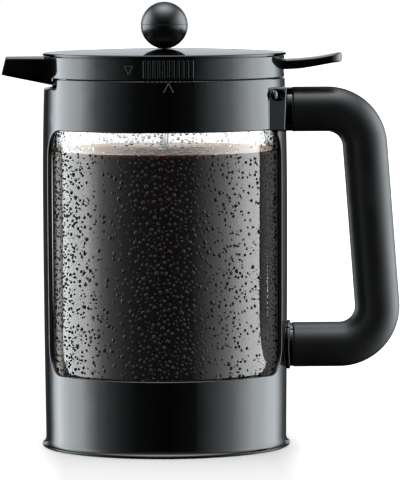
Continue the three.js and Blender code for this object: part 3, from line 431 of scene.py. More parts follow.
def bridge(form, first, second, closed=True):
    """Faces between two rings of vertices. A ring of one vertex is a pole."""
    count = max(len(first), len(second))
    for i in range(count if closed else count - 1):
        j = (i + 1) % count
        ring = [first[i % len(first)], first[j % len(first)]]
        ring += [second[j % len(second)], second[i % len(second)]]
        corners = list(dict.fromkeys(ring))
        if len(corners) > 2:
            form.faces.new(corners)


def lathe(form, profile, segments=AROUND, closed=True, place=Matrix()):
    """Turns a line of (radius, height) about the Z axis of place."""
    rings = []
    for radius, height in profile:
        if radius < WELD:
            rings.append([form.verts.new(place @ Vector((0, 0, height)))])
            continue
        rings.append([
            form.verts.new(place @ around(radius, 360 * i / segments, height)) for i in range(segments)
        ])
    for first, second in zip(rings, rings[1:] + rings[:1] if closed else rings[1:]):
        bridge(form, first, second)


def turned(profile, **settings):
    """A new form of one line turned about the Z axis."""
    form = bmesh.new()
    lathe(form, profile, **settings)
    return form


def loft(form, rings, capped=True):
    """A skin over rings of equal count, with a face on each end."""
    made = [[form.verts.new(place) for place in ring] for ring in rings]
    for first, second in zip(made, made[1:]):
        bridge(form, first, second)
    if capped:
        form.faces.new(list(reversed(made[0])))
        form.faces.new(made[-1])


def block(form, low, high, edge, place=Matrix()):
    """A box with its long edges along Z rounded."""
    spots = ((low[0], low[1]), (high[0], low[1]), (high[0], high[1]), (low[0], high[1]))
    corners = [(*spot, edge) for spot in spots]
    rings = []
    for offset, height in ((edge, low[2]), (0, low[2] + edge), (0, high[2] - edge), (edge, high[2])):
        line = rounded(corners, offset=offset * BLOCK_EDGE_SHARE, steps=BLOCK_STEPS)
        rings.append([place @ Vector((*point, height)) for point in line])
    loft(form, rings)


def within(points, loops):
    """Which points lie inside the loops, by counting the edges to their right."""
    inside = np.zeros(len(points), bool)
    for loop in loops:
        for (x0, y0), (x1, y1) in zip(loop, loop[1:] + loop[:1]):
            if y0 == y1:
                continue
            crossed = (y0 > points[:, 1]) != (y1 > points[:, 1])
            inside ^= crossed & (points[:, 0] < (x1 - x0) * (points[:, 1] - y0) / (y1 - y0) + x0)
    return inside


def filled(loops, extra, clearance):
    """Triangles between the loops, through the extra points that stand clear of them."""
    corners = [tuple(point) for loop in loops for point in loop]
    edges, start = [], 0
    for loop in loops:
        edges += [(start + i, start + (i + 1) % len(loop)) for i in range(len(loop))]
        start += len(loop)
    loops = [[tuple(point) for point in loop] for loop in loops]
    extra = np.array(extra, float).reshape(-1, 2)
    extra = extra[within(extra, loops)]
    nearest = np.array([np.min(np.hypot(*(np.array(corners) - point).T)) for point in extra])
    extra = extra[nearest > clearance] if len(extra) else extra
    points = [Vector(point) for point in corners] + [Vector(point) for point in extra]
    places, _, faces, *_ = delaunay_2d_cdt(points, edges, [], 0, WELD / 10)
    flat = np.array([tuple(place) for place in places])
    centres = np.array([flat[list(face)].mean(0) for face in faces])
    kept = within(centres, loops)
    return flat, [face for face, inside in zip(faces, kept) if inside]


def edge_section(thickness, rounding):
    """(offset, depth) pairs that round a plate's edge on both sides."""
    arc = [(rounding * (1 - sine), rounding * (1 - cosine)) for cosine, sine in quarter(ROUND_STEPS)]
    return arc + [(offset, thickness - depth) for offset, depth in reversed(arc)]


class Round:
    """Unrolls a round wall: flat points are (arc length at the collar's radius, height)."""

    HUB = 40

    def __init__(self, low, high, whole):
        self.low, self.high, self.whole = low, high, whole

    def plan(self, point):
        if not self.whole:
            return (point[0], point[1])
        reach, angle = point[1] - self.low + self.HUB, point[0] / COLLAR_RADIUS
        return (reach * math.cos(angle), reach * math.sin(angle))

    def unplan(self, point):
        if not self.whole:
            return (point[0], point[1])
        return (math.atan2(point[1], point[0]) * COLLAR_RADIUS, math.hypot(*point) - self.HUB + self.low)

    def grid(self, arc_from, arc_to):
        across = np.arange(arc_from, arc_to, WALL_STEP)
        up = np.arange(self.low + WALL_STEP / 2, self.high, 2 * WALL_STEP)
        return [self.plan((arc, height)) for height in up for arc in across]


def arc_of(degrees):
    return degrees * DEGREE * COLLAR_RADIUS


def wall(form, loops, chart, radius_at, thickness, rounding, fixed=()):
    """A round wall between loops, each a function of offset, with rounded edges but at the fixed loops."""
    def place(point, depth):
        return around(radius_at(point[1]) - depth, point[0] / COLLAR_RADIUS / DEGREE, point[1])

    for loop in loops:
        rings = [
            [form.verts.new(place(point, depth)) for point in loop(offset)]
            for offset, depth in edge_section(thickness, rounding)
        ]
        for first, second in zip(rings, rings[1:]):
            bridge(form, first, second)
    flat_loops = [loop(rounding) for loop in loops] + list(fixed)
    planned = [[chart.plan(point) for point in loop] for loop in flat_loops]
    arcs = [point[0] for loop in flat_loops for point in loop]
    flat, faces = filled(planned, chart.grid(min(arcs), max(arcs)), WALL_STEP / 3)
    for depth in (0, thickness):
        made = [form.verts.new(place(chart.unplan(point), depth)) for point in flat]
        for face in faces:
            form.faces.new([made[i] for i in face])


def window(from_angle, to_angle):
    """A window's outline, clockwise, so that the wall lies to its left."""
    left, right = arc_of(from_angle), arc_of(to_angle)
    corners = [
        (left, WINDOW_BOTTOM_Z, WINDOW_CORNER), (left, WINDOW_TOP_Z, WINDOW_CORNER),
        (right, WINDOW_TOP_Z, WINDOW_CORNER), (right, WINDOW_BOTTOM_Z, WINDOW_CORNER),
    ]
    return lambda offset: rounded(corners, offset=offset, steps=CORNER_STEPS, spacing=WALL_STEP)


def ring_loop(height, facing):
    """A whole turn at one height. The wall lies above it for facing 1, and below it for facing -1."""
    def loop(offset):
        return [Vector((arc_of(360 * i / AROUND), height + facing * offset)) for i in range(AROUND)]
    return loop


# Shapes of the frame and its parts


def frame_radius(height):
    if height > BELLY_Z:
        share = (height - BELLY_Z) / (COLLAR_TOP - BELLY_Z)
        return BELLY_RADIUS - (BELLY_RADIUS - COLLAR_RADIUS) * share ** 2
    share = (BELLY_Z - height) / (BELLY_Z - FLARE_TOP_Z)
    return BELLY_RADIUS - (BELLY_RADIUS - BASE_RADIUS) * share ** 2


def collar_edge(offset):
    """The collar's top edge with the notch for the spout, from the right to the left."""
    notch_z = COLLAR_TOP - NOTCH_DEPTH
    left, right = arc_of(180 - NOTCH_HALF), arc_of(180 + NOTCH_HALF)
    corners = [
        (arc_of(360), COLLAR_TOP), (right, COLLAR_TOP, NOTCH_LIP_CORNER), (right, notch_z, NOTCH_CORNER),
        (left, notch_z, NOTCH_CORNER), (left, COLLAR_TOP, NOTCH_LIP_CORNER), (0, COLLAR_TOP),
    ]
    return rounded(corners, closed=False, offset=offset, steps=ROUND_STEPS, spacing=WALL_STEP)[:-1]


def frame_form():
    form = bmesh.new()
    chart = Round(FLARE_TOP_Z, COLLAR_TOP, True)
    loops = [
        collar_edge,
        window(180 + SPOUT_STRUT_HALF, 360 - HANDLE_STRUT_HALF),
        window(HANDLE_STRUT_HALF, 180 - SPOUT_STRUT_HALF),
    ]
    wall(form, loops, chart, frame_radius, WALL, WINDOW_ROUND, fixed=[ring_loop(FLARE_TOP_Z, 1)(0)])
    lip = [
        (BASE_RADIUS + (LIP_RADIUS - BASE_RADIUS) * out, LIP_EDGE_Z + (FLARE_TOP_Z - LIP_EDGE_Z) * up)
        for out, up in reversed(LIP_SHARES)
    ]
    recess = BASE_RADIUS - RECESS_RIM
    lathe(form, lip + [
        (LIP_RADIUS - FINE_ROUND, UNDERSIDE_Z + FINE_ROUND), (LIP_RADIUS - 3 * FINE_ROUND, UNDERSIDE_Z),
        (recess, UNDERSIDE_Z), (recess - RECESS_DEPTH, UNDERSIDE_Z + RECESS_DEPTH),
        (RECESS_HUB + RECESS_DEPTH, UNDERSIDE_Z + RECESS_DEPTH), (RECESS_HUB, UNDERSIDE_Z), (0, UNDERSIDE_Z),
    ], closed=False)
    inside = BASE_RADIUS - WALL
    lathe(form, [(0, FLOOR_TOP_Z), (inside, FLOOR_TOP_Z), (inside, FLARE_TOP_Z)], closed=False)
    for i in range(FOOT_COUNT):
        spot = around(LIP_RADIUS - FOOT_INSET, 270 + 360 * i / FOOT_COUNT, 0)
        foot = [(FOOT_RADIUS, UNDERSIDE_Z + FOOT_ROOT), (FOOT_RADIUS, FOOT_EDGE)]
        foot += [(FOOT_RADIUS - FOOT_EDGE, 0), (0, 0)]
        lathe(form, foot, segments=AROUND_SMALL, closed=False, place=Matrix.Translation(spot))
    return form


def kept_faces(node, wanted):
    """A copy of the faces of a CAD node whose corners all pass a test, in millimetres."""
    form = bmesh.new()
    form.from_mesh(frame["nodes"][node].data)
    form.transform(Matrix.Scale(1 / MM, 4))
    bmesh.ops.remove_doubles(form, verts=form.verts, dist=WELD)
    spare = [face for face in form.faces if not all(wanted(v.co) for v in face.verts)]
    bmesh.ops.delete(form, geom=spare, context="FACES")
    form.faces.ensure_lookup_table()
    return form


def joined(form, other):
    """Adds another form's faces to this one."""
    mesh = bpy.data.meshes.new("joined")
    other.to_mesh(mesh)
    other.free()
    form.from_mesh(mesh)
    bpy.data.meshes.remove(mesh)
    return form


def opening(middle, half, low, high, corner):
    """A rectangle's outline in a wall, clockwise, so that the wall lies to its left."""
    left, right = middle - half, middle + half
    corners = [(left, low, corner), (left, high, corner), (right, high, corner), (right, low, corner)]
    return lambda offset: rounded(corners, offset=offset, spacing=WALL_STEP)


def band_form():
    """The lid's band with its openings for spout and lever, the grip ribs and the spout."""
    form = bmesh.new()
    lever_half = LEVER_WIDTH / 2 + GAP
    slot_low, slot_high = LEVER_ROOT_Z - SLOT_BELOW, LEVER_ROOT_Z + LEVER_ROOT_HEIGHT + GAP
    mouth_half = SPOUT_ROOT_HALF - SPOUT_WALL
    mouth_low, mouth_high = BAND_BOTTOM_Z + MOUTH_SILL, BAND_TOP_Z - SPOUT_WALL
    slot = opening(0, lever_half, slot_low, slot_high, SLOT_CORNER)
    mouth = opening(arc_of(180), mouth_half, mouth_low, mouth_high, MOUTH_CORNER)
    loops = [ring_loop(BAND_TOP_Z, -1), ring_loop(BAND_BOTTOM_Z, 1), slot, mouth]
    chart = Round(BAND_BOTTOM_Z, BAND_TOP_Z, True)
    wall(form, loops, chart, lambda height: BAND_RADIUS, BAND_WALL, FINE_ROUND)
    step = GRIP_RIB_PITCH / BAND_RADIUS
    for side in (-90, 90):
        for i in range(GRIP_RIB_COUNT):
            turn = side * DEGREE + (i - (GRIP_RIB_COUNT - 1) / 2) * step
            low = (BAND_RADIUS - GRIP_RIB_ROOT, -GRIP_RIB_WIDTH / 2, BAND_BOTTOM_Z + GRIP_RIB_MARGIN)
            high = (BAND_RADIUS + GRIP_RIB_REACH, GRIP_RIB_WIDTH / 2, BAND_TOP_Z - GRIP_RIB_MARGIN)
            block(form, low, high, FINE_ROUND, Matrix.Rotation(turn, 4, "Z"))
    spout(form)
    return form


def spout_half(height):
    """Half the spout's width at a height, where it meets the band."""
    keel = SPOUT_ROOT_HALF * SPOUT_KEEL_SHARE
    low = BAND_BOTTOM_Z - SPOUT_ROOT_DROP
    heights = [low, low + SPOUT_ROOT_HALF - keel, BAND_BOTTOM_Z, BAND_TOP_Z]
    return float(np.interp(height, heights, [keel, SPOUT_ROOT_HALF, SPOUT_ROOT_HALF, SPOUT_TOP_HALF]))


def spout(form):
    root_x = -GUIDE_RADIUS
    top_z = BAND_TOP_Z - SPOUT_TOP_GAP
    low_root, low_tip = BAND_BOTTOM_Z - SPOUT_ROOT_DROP, BAND_TOP_Z - SPOUT_TIP_HEIGHT

    def ring(share, offset):
        low_z = low_root + (low_tip - low_root) * share
        widest = SPOUT_TOP_HALF + (SPOUT_TIP_HALF - SPOUT_TOP_HALF) * share
        mid_z = max(BAND_BOTTOM_Z, low_z + SPOUT_BEND_RISE)
        keel, middle = min(spout_half(low_z), widest), min(spout_half(mid_z), widest)
        flat = keel * SPOUT_KEEL_FLAT_SHARE
        corners = [
            (widest, top_z, SPOUT_TOP_CORNER), (-widest, top_z, SPOUT_TOP_CORNER),
            (-middle, mid_z, SPOUT_SIDE_CORNER), (-flat, low_z, SPOUT_KEEL_CORNER),
            (flat, low_z, SPOUT_KEEL_CORNER), (middle, mid_z, SPOUT_SIDE_CORNER),
        ]
        line = rounded(corners, offset=offset, steps=ROUND_STEPS)
        places = []
        for across, height in line:
            tip_x = SPOUT_TIP_X + SPOUT_TIP_RAKE * (height - low_tip) / SPOUT_TIP_HEIGHT
            places.append(Vector((root_x + (tip_x - root_x) * share, across, height)))
        return places

    outside = SPOUT_STATIONS + [(1, SPOUT_MOUTH_ROUND)]
    inside = [(share, SPOUT_WALL - offset) for share, offset in reversed(outside)]
    loft(form, [ring(share, offset) for share, offset in outside + inside], capped=False)


def eased(shares, at):
    """A smooth reading between the given shares."""
    along, up = zip(*shares)
    fine = np.linspace(0, 1, EASE_STEPS)
    padded = np.pad(np.interp(fine, along, up), EASE_REACH, mode="reflect", reflect_type="odd")
    window = 2 * EASE_REACH + 1
    smooth = np.convolve(padded, np.ones(window) / window, "valid")
    return float(np.interp(at, fine, smooth))


def lever_form():
    form = kept_faces("thumb_lever", lambda co: co.x < BAND_RADIUS - LEVER_KEPT_DEPTH)
    root_x, tip_x = BAND_RADIUS - LEVER_ROOT_DEPTH, LEVER_HIGH.x
    top_root = LEVER_ROOT_Z + LEVER_ROOT_HEIGHT
    top_tip = top_root + LEVER_TIP_RISE
    low_tip = top_tip - LEVER_TIP_THICKNESS
    straight_end = tip_x - LEVER_TIP_ROUND
    straight = (straight_end - root_x) / LEVER_STEPS
    stations = [(root_x + straight * i, LEVER_WIDTH / 2) for i in range(LEVER_STEPS)]
    for cosine, sine in quarter(LEVER_STEPS):
        half = LEVER_WIDTH / 2 - LEVER_TIP_ROUND * (1 - cosine)
        stations.append((straight_end + LEVER_TIP_ROUND * sine, half))
    rings = []
    for x, half in stations:
        share = max(0, (x - BAND_RADIUS) / (tip_x - BAND_RADIUS))
        nearness = max(0, 1 - (tip_x - x) / LEVER_EDGE)
        inset = LEVER_EDGE * (1 - math.sqrt(1 - nearness ** 2)) * LEVER_EDGE_SHARE
        low = LEVER_ROOT_Z + (low_tip - LEVER_ROOT_Z) * eased(LEVER_UNDER_SHARES, share) + inset
        top = top_root + LEVER_TIP_RISE * eased(LEVER_TOP_SHARES, share) - inset
        edge = max(LEVER_EDGE - inset, LEVER_LEAST_EDGE)
        corners = [(-half, low, edge), (half, low, edge), (half, top, edge), (-half, top, edge)]
        rings.append([Vector((x, across, height)) for across, height in rounded(corners)])
    loft(form, rings)
    return form


def cap_form():
    edge_top = CAP_UNDER_Z + CAP_EDGE_HEIGHT
    bore = ROD_RADIUS + GAP
    inner, outer = bore + CAP_BORE_MARGIN, CAP_RADIUS - CAP_EDGE_INSET
    slope = [bore + FINE_ROUND] + list(np.linspace(inner, outer, CAP_TOP_STEPS + 1))
    top = [(r, edge_top + CAP_RISE * (1 - (r / CAP_RADIUS) ** 2)) for r in slope]
    edge = rounded([
        (outer, edge_top + CAP_EDGE_RISE), (CAP_RADIUS, edge_top - CAP_EDGE_DROP, CAP_TOP_ROUND),
        (CAP_RADIUS, CAP_UNDER_Z, CAP_UNDER_ROUND), (CAP_RADIUS - CAP_OVERHANG, CAP_UNDER_Z),
    ], closed=False)
    seat = BAND_RADIUS - BAND_WALL
    skirt, skirt_z, ceiling_z = seat - CAP_SKIRT_INSET, CAP_UNDER_Z - CAP_SKIRT_HEIGHT, CAP_HIGH.z - CAP_SHELL
    under = [
        (seat - GAP, CAP_UNDER_Z), (seat - GAP, skirt_z), (skirt, skirt_z), (skirt, CAP_UNDER_Z),
        (seat / 2, ceiling_z - CAP_UNDER_DROP), (bore, ceiling_z), (bore, top[0][1] - FINE_ROUND),
    ]
    return turned(top + edge + under)


def knob_profile(lower):
    centre = KNOB_HIGH.z - KNOB_RADIUS
    parting_z = centre + PARTING_RISE
    parting = math.asin(PARTING_RISE / KNOB_RADIUS)
    rounding = PARTING_ROUND / KNOB_RADIUS
    facing = -1 if lower else 1
    lip_radius, lip_z = KNOB_RADIUS - PARTING_ROUND / 3, parting_z + facing * PARTING_HALF
    lip = [(KNOB_RADIUS - PARTING_DEPTH, parting_z), (lip_radius, lip_z)]
    room = [(INSERT_ROOM_RADIUS, parting_z)]
    if lower:
        angles = np.linspace(-math.acos(KNOB_NECK_RADIUS / KNOB_RADIUS), parting - rounding, KNOB_STEPS)
    else:
        angles = np.linspace(parting + rounding, math.pi / 2, KNOB_STEPS)[:-1]
    arc = [(KNOB_RADIUS * math.cos(a), centre + KNOB_RADIUS * math.sin(a)) for a in angles]
    if lower:
        foot_z, sill_z, bore = KNOB_LOW.z - KNOB_FOOT_DROP, KNOB_LOW.z + INSERT_SILL, ROD_RADIUS + GAP
        neck = [(bore, foot_z), (KNOB_NECK_RADIUS, foot_z)]
        return neck + arc + lip[::-1] + room + [(INSERT_ROOM_RADIUS, sill_z), (bore, sill_z)]
    room_z = centre + INSERT_ROOM_RISE
    return room + lip + arc + [(0, centre + KNOB_RADIUS), (0, room_z), (INSERT_ROOM_RADIUS, room_z)]


def knob_form(lower):
    return turned(knob_profile(lower), segments=AROUND_KNOB)


def rod_form():
    profile = [(0, ROD_LOW.z), (ROD_RADIUS, ROD_LOW.z), (ROD_RADIUS, ROD_HIGH.z), (0, ROD_HIGH.z)]
    return turned(profile, segments=AROUND_ROD, closed=False)


def handle_line(start_x):
    return rounded([
        (start_x, UPPER_ARM_Z), (LEG_TOP_X, UPPER_ARM_Z, GRIP_BEND),
        (LEG_BOTTOM_X, LOWER_ARM_Z, GRIP_BEND), (start_x, LOWER_ARM_Z),
    ], closed=False, steps=GRIP_BEND_STEPS, spacing=GRIP_STEP)


def swept(form, line, radius_at, sides):
    """A tube along a line in the XZ plane. radius_at takes the length run so far and the length left."""
    runs = [0]
    for before, after in zip(line, line[1:]):
        runs.append(runs[-1] + (after - before).length)
    rings = []
    for i, place in enumerate(line):
        way = (line[min(i + 1, len(line) - 1)] - line[max(i - 1, 0)]).normalized()
        across = left_of(way)
        radius = radius_at(runs[i], runs[-1] - runs[i])
        ring = []
        for k in range(sides):
            angle = 2 * math.pi * k / sides
            spot = place + across * radius * math.cos(angle)
            ring.append(Vector((spot.x, radius * math.sin(angle), spot.y)))
        rings.append(ring)
    loft(form, rings)


def with_ends(line, lengths):
    """The line with extra stations near both ends."""
    first, last = line[0], line[-1]
    start = [first.lerp(line[1], length / (line[1] - first).length) for length in lengths]
    end = [last.lerp(line[-2], length / (line[-2] - last).length) for length in reversed(lengths)]
    return [first] + start + line[1:-1] + end + [last]


def grip_form():
    form = bmesh.new()

    def radius_at(run, left):
        near = min(run, left)
        if near >= GRIP_END_ROUND:
            return GRIP_RADIUS
        return GRIP_RADIUS - GRIP_END_ROUND + math.sqrt(GRIP_END_ROUND ** 2 - (GRIP_END_ROUND - near) ** 2)

    stops = [GRIP_END_ROUND * share for share in GRIP_END_SHARES]
    swept(form, with_ends(handle_line(NECK_END_X), stops), radius_at, AROUND_ROD)
    return form


def shell_radius(height):
    return frame_radius(height) + GAP + ROOT_PLATE_THICKNESS


def patch(form, loop, low, high, rounding):
    wall(form, [loop], Round(low, high, False), shell_radius, ROOT_PLATE_THICKNESS + GAP, rounding)


def saddle_plan(inset, widest, half_angle):
    """The saddle from above: two sides that run out to a shallow back. No point lies past widest."""
    foot = around(COLLAR_RADIUS, half_angle, 0).xy
    way = Vector((math.cos(SADDLE_SIDE_TURN * DEGREE), -math.sin(SADDLE_SIDE_TURN * DEGREE)))
    root, corner = foot - way * SADDLE_ROOT_SINK, foot + way * SADDLE_SIDE_DEPTH
    back_x = BELLY_RADIUS + SADDLE_BACK_THICKNESS
    shares = np.linspace(-SADDLE_BACK_SHARE, SADDLE_BACK_SHARE, SADDLE_BACK_STEPS)
    back = [(back_x - (back_x - corner.x) * share ** 2, corner.y * share) for share in shares]
    corners = [(root.x, -root.y), (corner.x, -corner.y, SADDLE_EDGE)] + back
    corners += [(corner.x, corner.y, SADDLE_EDGE), (root.x, root.y)]
    reach = half_angle - SADDLE_INNER_MARGIN
    turns = np.linspace(reach, -reach, SADDLE_INNER_STEPS)
    inner = [tuple(around(COLLAR_RADIUS - SADDLE_INNER_DEPTH, angle, 0).xy) for angle in turns]
    line = rounded(corners + inner, offset=inset, steps=SADDLE_EDGE_STEPS)
    return [Vector((p.x, math.copysign(min(abs(p.y), widest), p.y))) for p in line]


def saddle(form):
    low, high = WINDOW_TOP_Z, WINDOW_TOP_Z + SADDLE_HEIGHT
    top_half = COLLAR_RADIUS * math.sin(SADDLE_TOP_HALF_ANGLE * DEGREE)
    levels = [(EDGE_ROUND * (1 - cosine), EDGE_ROUND * (1 - sine)) for cosine, sine in quarter(ROUND_STEPS)]
    stations = [(low + up, inset) for up, inset in levels]
    side, corner = (SADDLE_HEIGHT - SADDLE_CORNER) / SADDLE_SIDE_STEPS, SADDLE_CORNER / SADDLE_CORNER_STEPS
    stations += [(low + side * k, 0) for k in range(1, SADDLE_SIDE_STEPS + 1)]
    stations += [(high - SADDLE_CORNER + corner * k, 0) for k in range(1, SADDLE_CORNER_STEPS - 1)]
    stations += [(high - up, inset) for up, inset in reversed(levels)]
    rings = []
    for height, inset in stations:
        beyond = max(0, height - high + SADDLE_CORNER)
        share = (height - low) / SADDLE_HEIGHT
        half_angle = SADDLE_HALF_ANGLE + (SADDLE_TOP_HALF_ANGLE - SADDLE_HALF_ANGLE) * share
        half = COLLAR_RADIUS * math.sin(half_angle * DEGREE)
        curved = half - SADDLE_CORNER + math.sqrt(SADDLE_CORNER ** 2 - beyond ** 2)
        widest = half + SADDLE_SLACK if beyond == 0 else curved
        ring = []
        for point in saddle_plan(inset, widest, half_angle):
            dip = SADDLE_TOP_DIP * share * max(0, 1 - (point.y / (top_half - SADDLE_CORNER)) ** 2)
            ring.append(Vector((*point, height - dip)))
        rings.append(ring)
    loft(form, rings)


def screw_seat(side):
    """The place of a saddle screw's seat, with its axis along Z."""
    height = COLLAR_TOP - SADDLE_SCREW_DROP
    seat = frame_radius(height) + GAP + SADDLE_SCREW_SEAT
    turn = Matrix.Rotation(side * SADDLE_SCREW_ANGLE * DEGREE, 4, "Z") @ Matrix.Translation((seat, 0, height))
    return turn @ Matrix.Rotation(math.pi / 2, 4, "Y")


def clean(form):
    bmesh.ops.remove_doubles(form, verts=form.verts, dist=WELD)
    bmesh.ops.recalc_face_normals(form, faces=form.faces)
    return form


def new_object(name, form):
    """An object of a form, which is used up."""
    mesh = bpy.data.meshes.new(name)
    form.to_mesh(mesh)
    form.free()
    made = bpy.data.objects.new(name, mesh)
    bpy.context.scene.collection.objects.link(made)
    return made


def cut_form(form, cutter):
    """What is left of a form when another is cut from it."""
    body, tool = new_object("body", clean(form)), new_object("tool", clean(cutter))
    cut = body.modifiers.new("cut", "BOOLEAN")
    cut.operation, cut.object, cut.solver = "DIFFERENCE", tool, "EXACT"
    bpy.context.view_layer.update()
    result = bmesh.new()
    result.from_mesh(body.evaluated_get(bpy.context.evaluated_depsgraph_get()).data)
    for spare in (body, tool):
        mesh = spare.data
        bpy.data.objects.remove(spare)
        bpy.data.meshes.remove(mesh)
    return result


def saddle_form():
    """The saddle's block with a room for each screw's head, and the two seats."""
    block, rooms = bmesh.new(), bmesh.new()
    saddle(block)
    for side in (-1, 1):
        radius = SCREW_HEAD_RADIUS + GAP
        room = [(0, 0), (radius, 0), (radius, SCREW_ROOM_HEIGHT), (0, SCREW_ROOM_HEIGHT)]
        lathe(rooms, room, segments=AROUND_ROD, closed=False, place=screw_seat(side))
    form = cut_form(block, rooms)
    for side in (-1, 1):
        lug = [
            (0, -SCREW_LUG_DEPTH), (SCREW_HEAD_RADIUS, -SCREW_LUG_DEPTH), (SCREW_HEAD_RADIUS, -FINE_ROUND),
            (SCREW_HEAD_RADIUS - FINE_ROUND, 0), (0, 0),
        ]
        lathe(form, lug, segments=AROUND_ROD, closed=False, place=screw_seat(side))
    return form


def root_loop(offset):
    radius = ROOT_PLATE_RADIUS - offset
    points = [around(radius, 360 * i / AROUND_NECK, 0) for i in range(AROUND_NECK)]
    return [Vector((point.x, LOWER_ARM_Z + point.y)) for point in points]


def core_form():
    form = saddle_form()
    patch(form, root_loop, LOWER_ARM_Z - ROOT_PLATE_RADIUS, LOWER_ARM_Z + ROOT_PLATE_RADIUS, EDGE_ROUND)
    for height in (UPPER_ARM_Z, LOWER_ARM_Z):
        place = Matrix.Translation((0, 0, height)) @ Matrix.Rotation(math.pi / 2, 4, "Y")
        root, end = frame_radius(height) + GAP, NECK_END_X + NECK_OVERLAP
        corners = [(0, root), (NECK_RADIUS, root), (NECK_RADIUS, end, NECK_EDGE), (0, end)]
        lathe(form, rounded(corners, closed=False), segments=AROUND_NECK, closed=False, place=place)
    core_radius = GRIP_RADIUS - GRIP_WALL - GAP
    swept(form, handle_line(NECK_END_X - CORE_OVERLAP), lambda run, left: core_radius, AROUND_CORE)
    return form


def screw_form(side):
    """A dome-head screw that holds the saddle to the collar."""
    shank = [
        (0, -SCREW_SHANK_LENGTH), (SCREW_SHANK_RADIUS, -SCREW_SHANK_LENGTH), (SCREW_SHANK_RADIUS, 0),
        (SCREW_HEAD_RADIUS - SCREW_EDGE, 0), (SCREW_HEAD_RADIUS, SCREW_EDGE),
    ]
    arc = quarter(SCREW_DOME_STEPS)
    dome = [(SCREW_HEAD_RADIUS * cosine, GAP + SCREW_HEAD_HEIGHT * sine) for cosine, sine in arc]
    return turned(shank + dome, segments=AROUND_SCREW, closed=False, place=screw_seat(side))


def jug_form():
    inner, floor_top = JUG_RADIUS - JUG_WALL, JUG_LOW.z + JUG_FLOOR
    lip = JUG_WALL / 3
    return turned(rounded([
        (0, JUG_LOW.z), (JUG_RADIUS, JUG_LOW.z, JUG_CORNER), (JUG_RADIUS, JUG_HIGH.z, lip),
        (inner, JUG_HIGH.z, lip), (inner, floor_top, JUG_CORNER - JUG_WALL / 2), (0, floor_top),
    ], closed=False, steps=JUG_STEPS, spacing=JUG_SPACING), closed=False)


def coffee_form():
    """The coffee fills the jug to its outside, because the clear wall magnifies it so."""
    radius, floor_top = JUG_RADIUS - COFFEE_SKIN, JUG_LOW.z + JUG_FLOOR
    corners = [(0, floor_top), (radius, floor_top, JUG_CORNER), (radius, COFFEE_TOP_Z)]
    outside = rounded(corners, closed=False, steps=JUG_STEPS, spacing=JUG_SPACING)
    return turned(outside + [(0, COFFEE_TOP_Z)], closed=False)


def coffee_surface_form():
    """The coffee's top, with its edge drawn up the jug's wall."""
    radius, level = JUG_RADIUS - JUG_WALL + SKIM_LIFT, COFFEE_TOP_Z + SKIM_LIFT
    edge = [(radius - MENISCUS * 2 * share, level + MENISCUS * (1 - share) ** 3) for share in MENISCUS_SHARES]
    return turned([(0, level), (radius / 2, level)] + edge, closed=False)


def drops_form(middle, half_width, seed):
    """Drops of condensation on the jug around one window: a form over the coffee and one above it."""
    chance = np.random.default_rng(seed)
    placed = np.zeros((sum(kind[0] for kind in DROP_KINDS), 3))
    reach = arc_of(half_width)
    low, high = WINDOW_BOTTOM_Z - DROP_MARGIN, WINDOW_TOP_Z + DROP_MARGIN
    over, above = bmesh.new(), bmesh.new()
    count = 0
    for tries, smallest, largest, zones in DROP_KINDS:
        for attempt in range(tries):
            size = smallest + (largest - smallest) * chance.random() ** DROP_SIZE_POWER
            arc, height = chance.uniform(-reach, reach), chance.uniform(low, high)
            degrees = middle + arc / JUG_RADIUS / DEGREE
            near = placed[:count]
            apart = np.hypot(near[:, 0] - arc, near[:, 1] - height) - near[:, 2] - size - DROP_APART
            touching = (apart < 0).any()
            if touching or chance.random() > np.interp(degrees % 360 - 270, *zip(*zones)):
                continue
            placed[count] = (arc, height, size)
            count += 1
            add_drop(over if height < COFFEE_TOP_Z else above, degrees, height, size, chance)
    return over, above


def add_drop(form, degrees, height, size, chance):
    sides, levels = next((sides, levels) for least, sides, levels in DROP_FORMS if size > least)
    stretch = 1 + DROP_STRETCH_SHARE * chance.random() if size > DROP_FINE else 1
    place = Matrix.Rotation(degrees * DEGREE, 4, "Z")
    place @= Matrix.Translation((JUG_RADIUS - DROP_SINK, 0, height))
    place @= Matrix.Rotation(math.pi / 2, 4, "Y")
    waver = chance.uniform(0, 2 * math.pi)
    rise = size * DROP_HEIGHT_SHARE
    rings = []
    for inward, upward in quarter(levels)[:-1]:
        ring = []
        for k in range(sides):
            angle = 2 * math.pi * k / sides
            radius = size * inward * (1 + DROP_WAVER_SHARE * math.cos(2 * angle + waver))
            spot = (radius * math.cos(angle) * stretch, radius * math.sin(angle), rise * upward)
            ring.append(form.verts.new(place @ Vector(spot)))
        rings.append(ring)
    rings.append([form.verts.new(place @ Vector((0, 0, rise)))])
    for first, second in zip(rings, rings[1:]):
        bridge(form, first, second)
    form.faces.new(list(reversed(rings[0])))


def stroke(form, start, end, radius):
    """One raised stroke of a mark on a round wall, between two flat points."""
    way = (end - start).normalized()
    side = left_of(way) * MARK_STROKE / 2
    rings = []
    for share in np.linspace(0, 1, MARK_STEPS):
        point = start.lerp(end, share)
        ring = []
        for across, out in MARK_SECTION:
            flat = point + side * across
            ring.append(around(radius + out, flat.x / radius / DEGREE, flat.y))
        rings.append(ring)
    loft(form, rings)


def mark_form(corners, closed, degrees, radius):
    form = bmesh.new()
    middle = degrees * DEGREE * radius
    points = [Vector((middle + across, height)) for across, height in corners]
    ends = points[1:] + (points[:1] if closed else [])
    for start, end in zip(points, ends):
        stroke(form, start, end, radius)
    return form


# Materials

NOISE_DETAIL = 3.0
NOISE_RANGE = (0.3, 0.7)


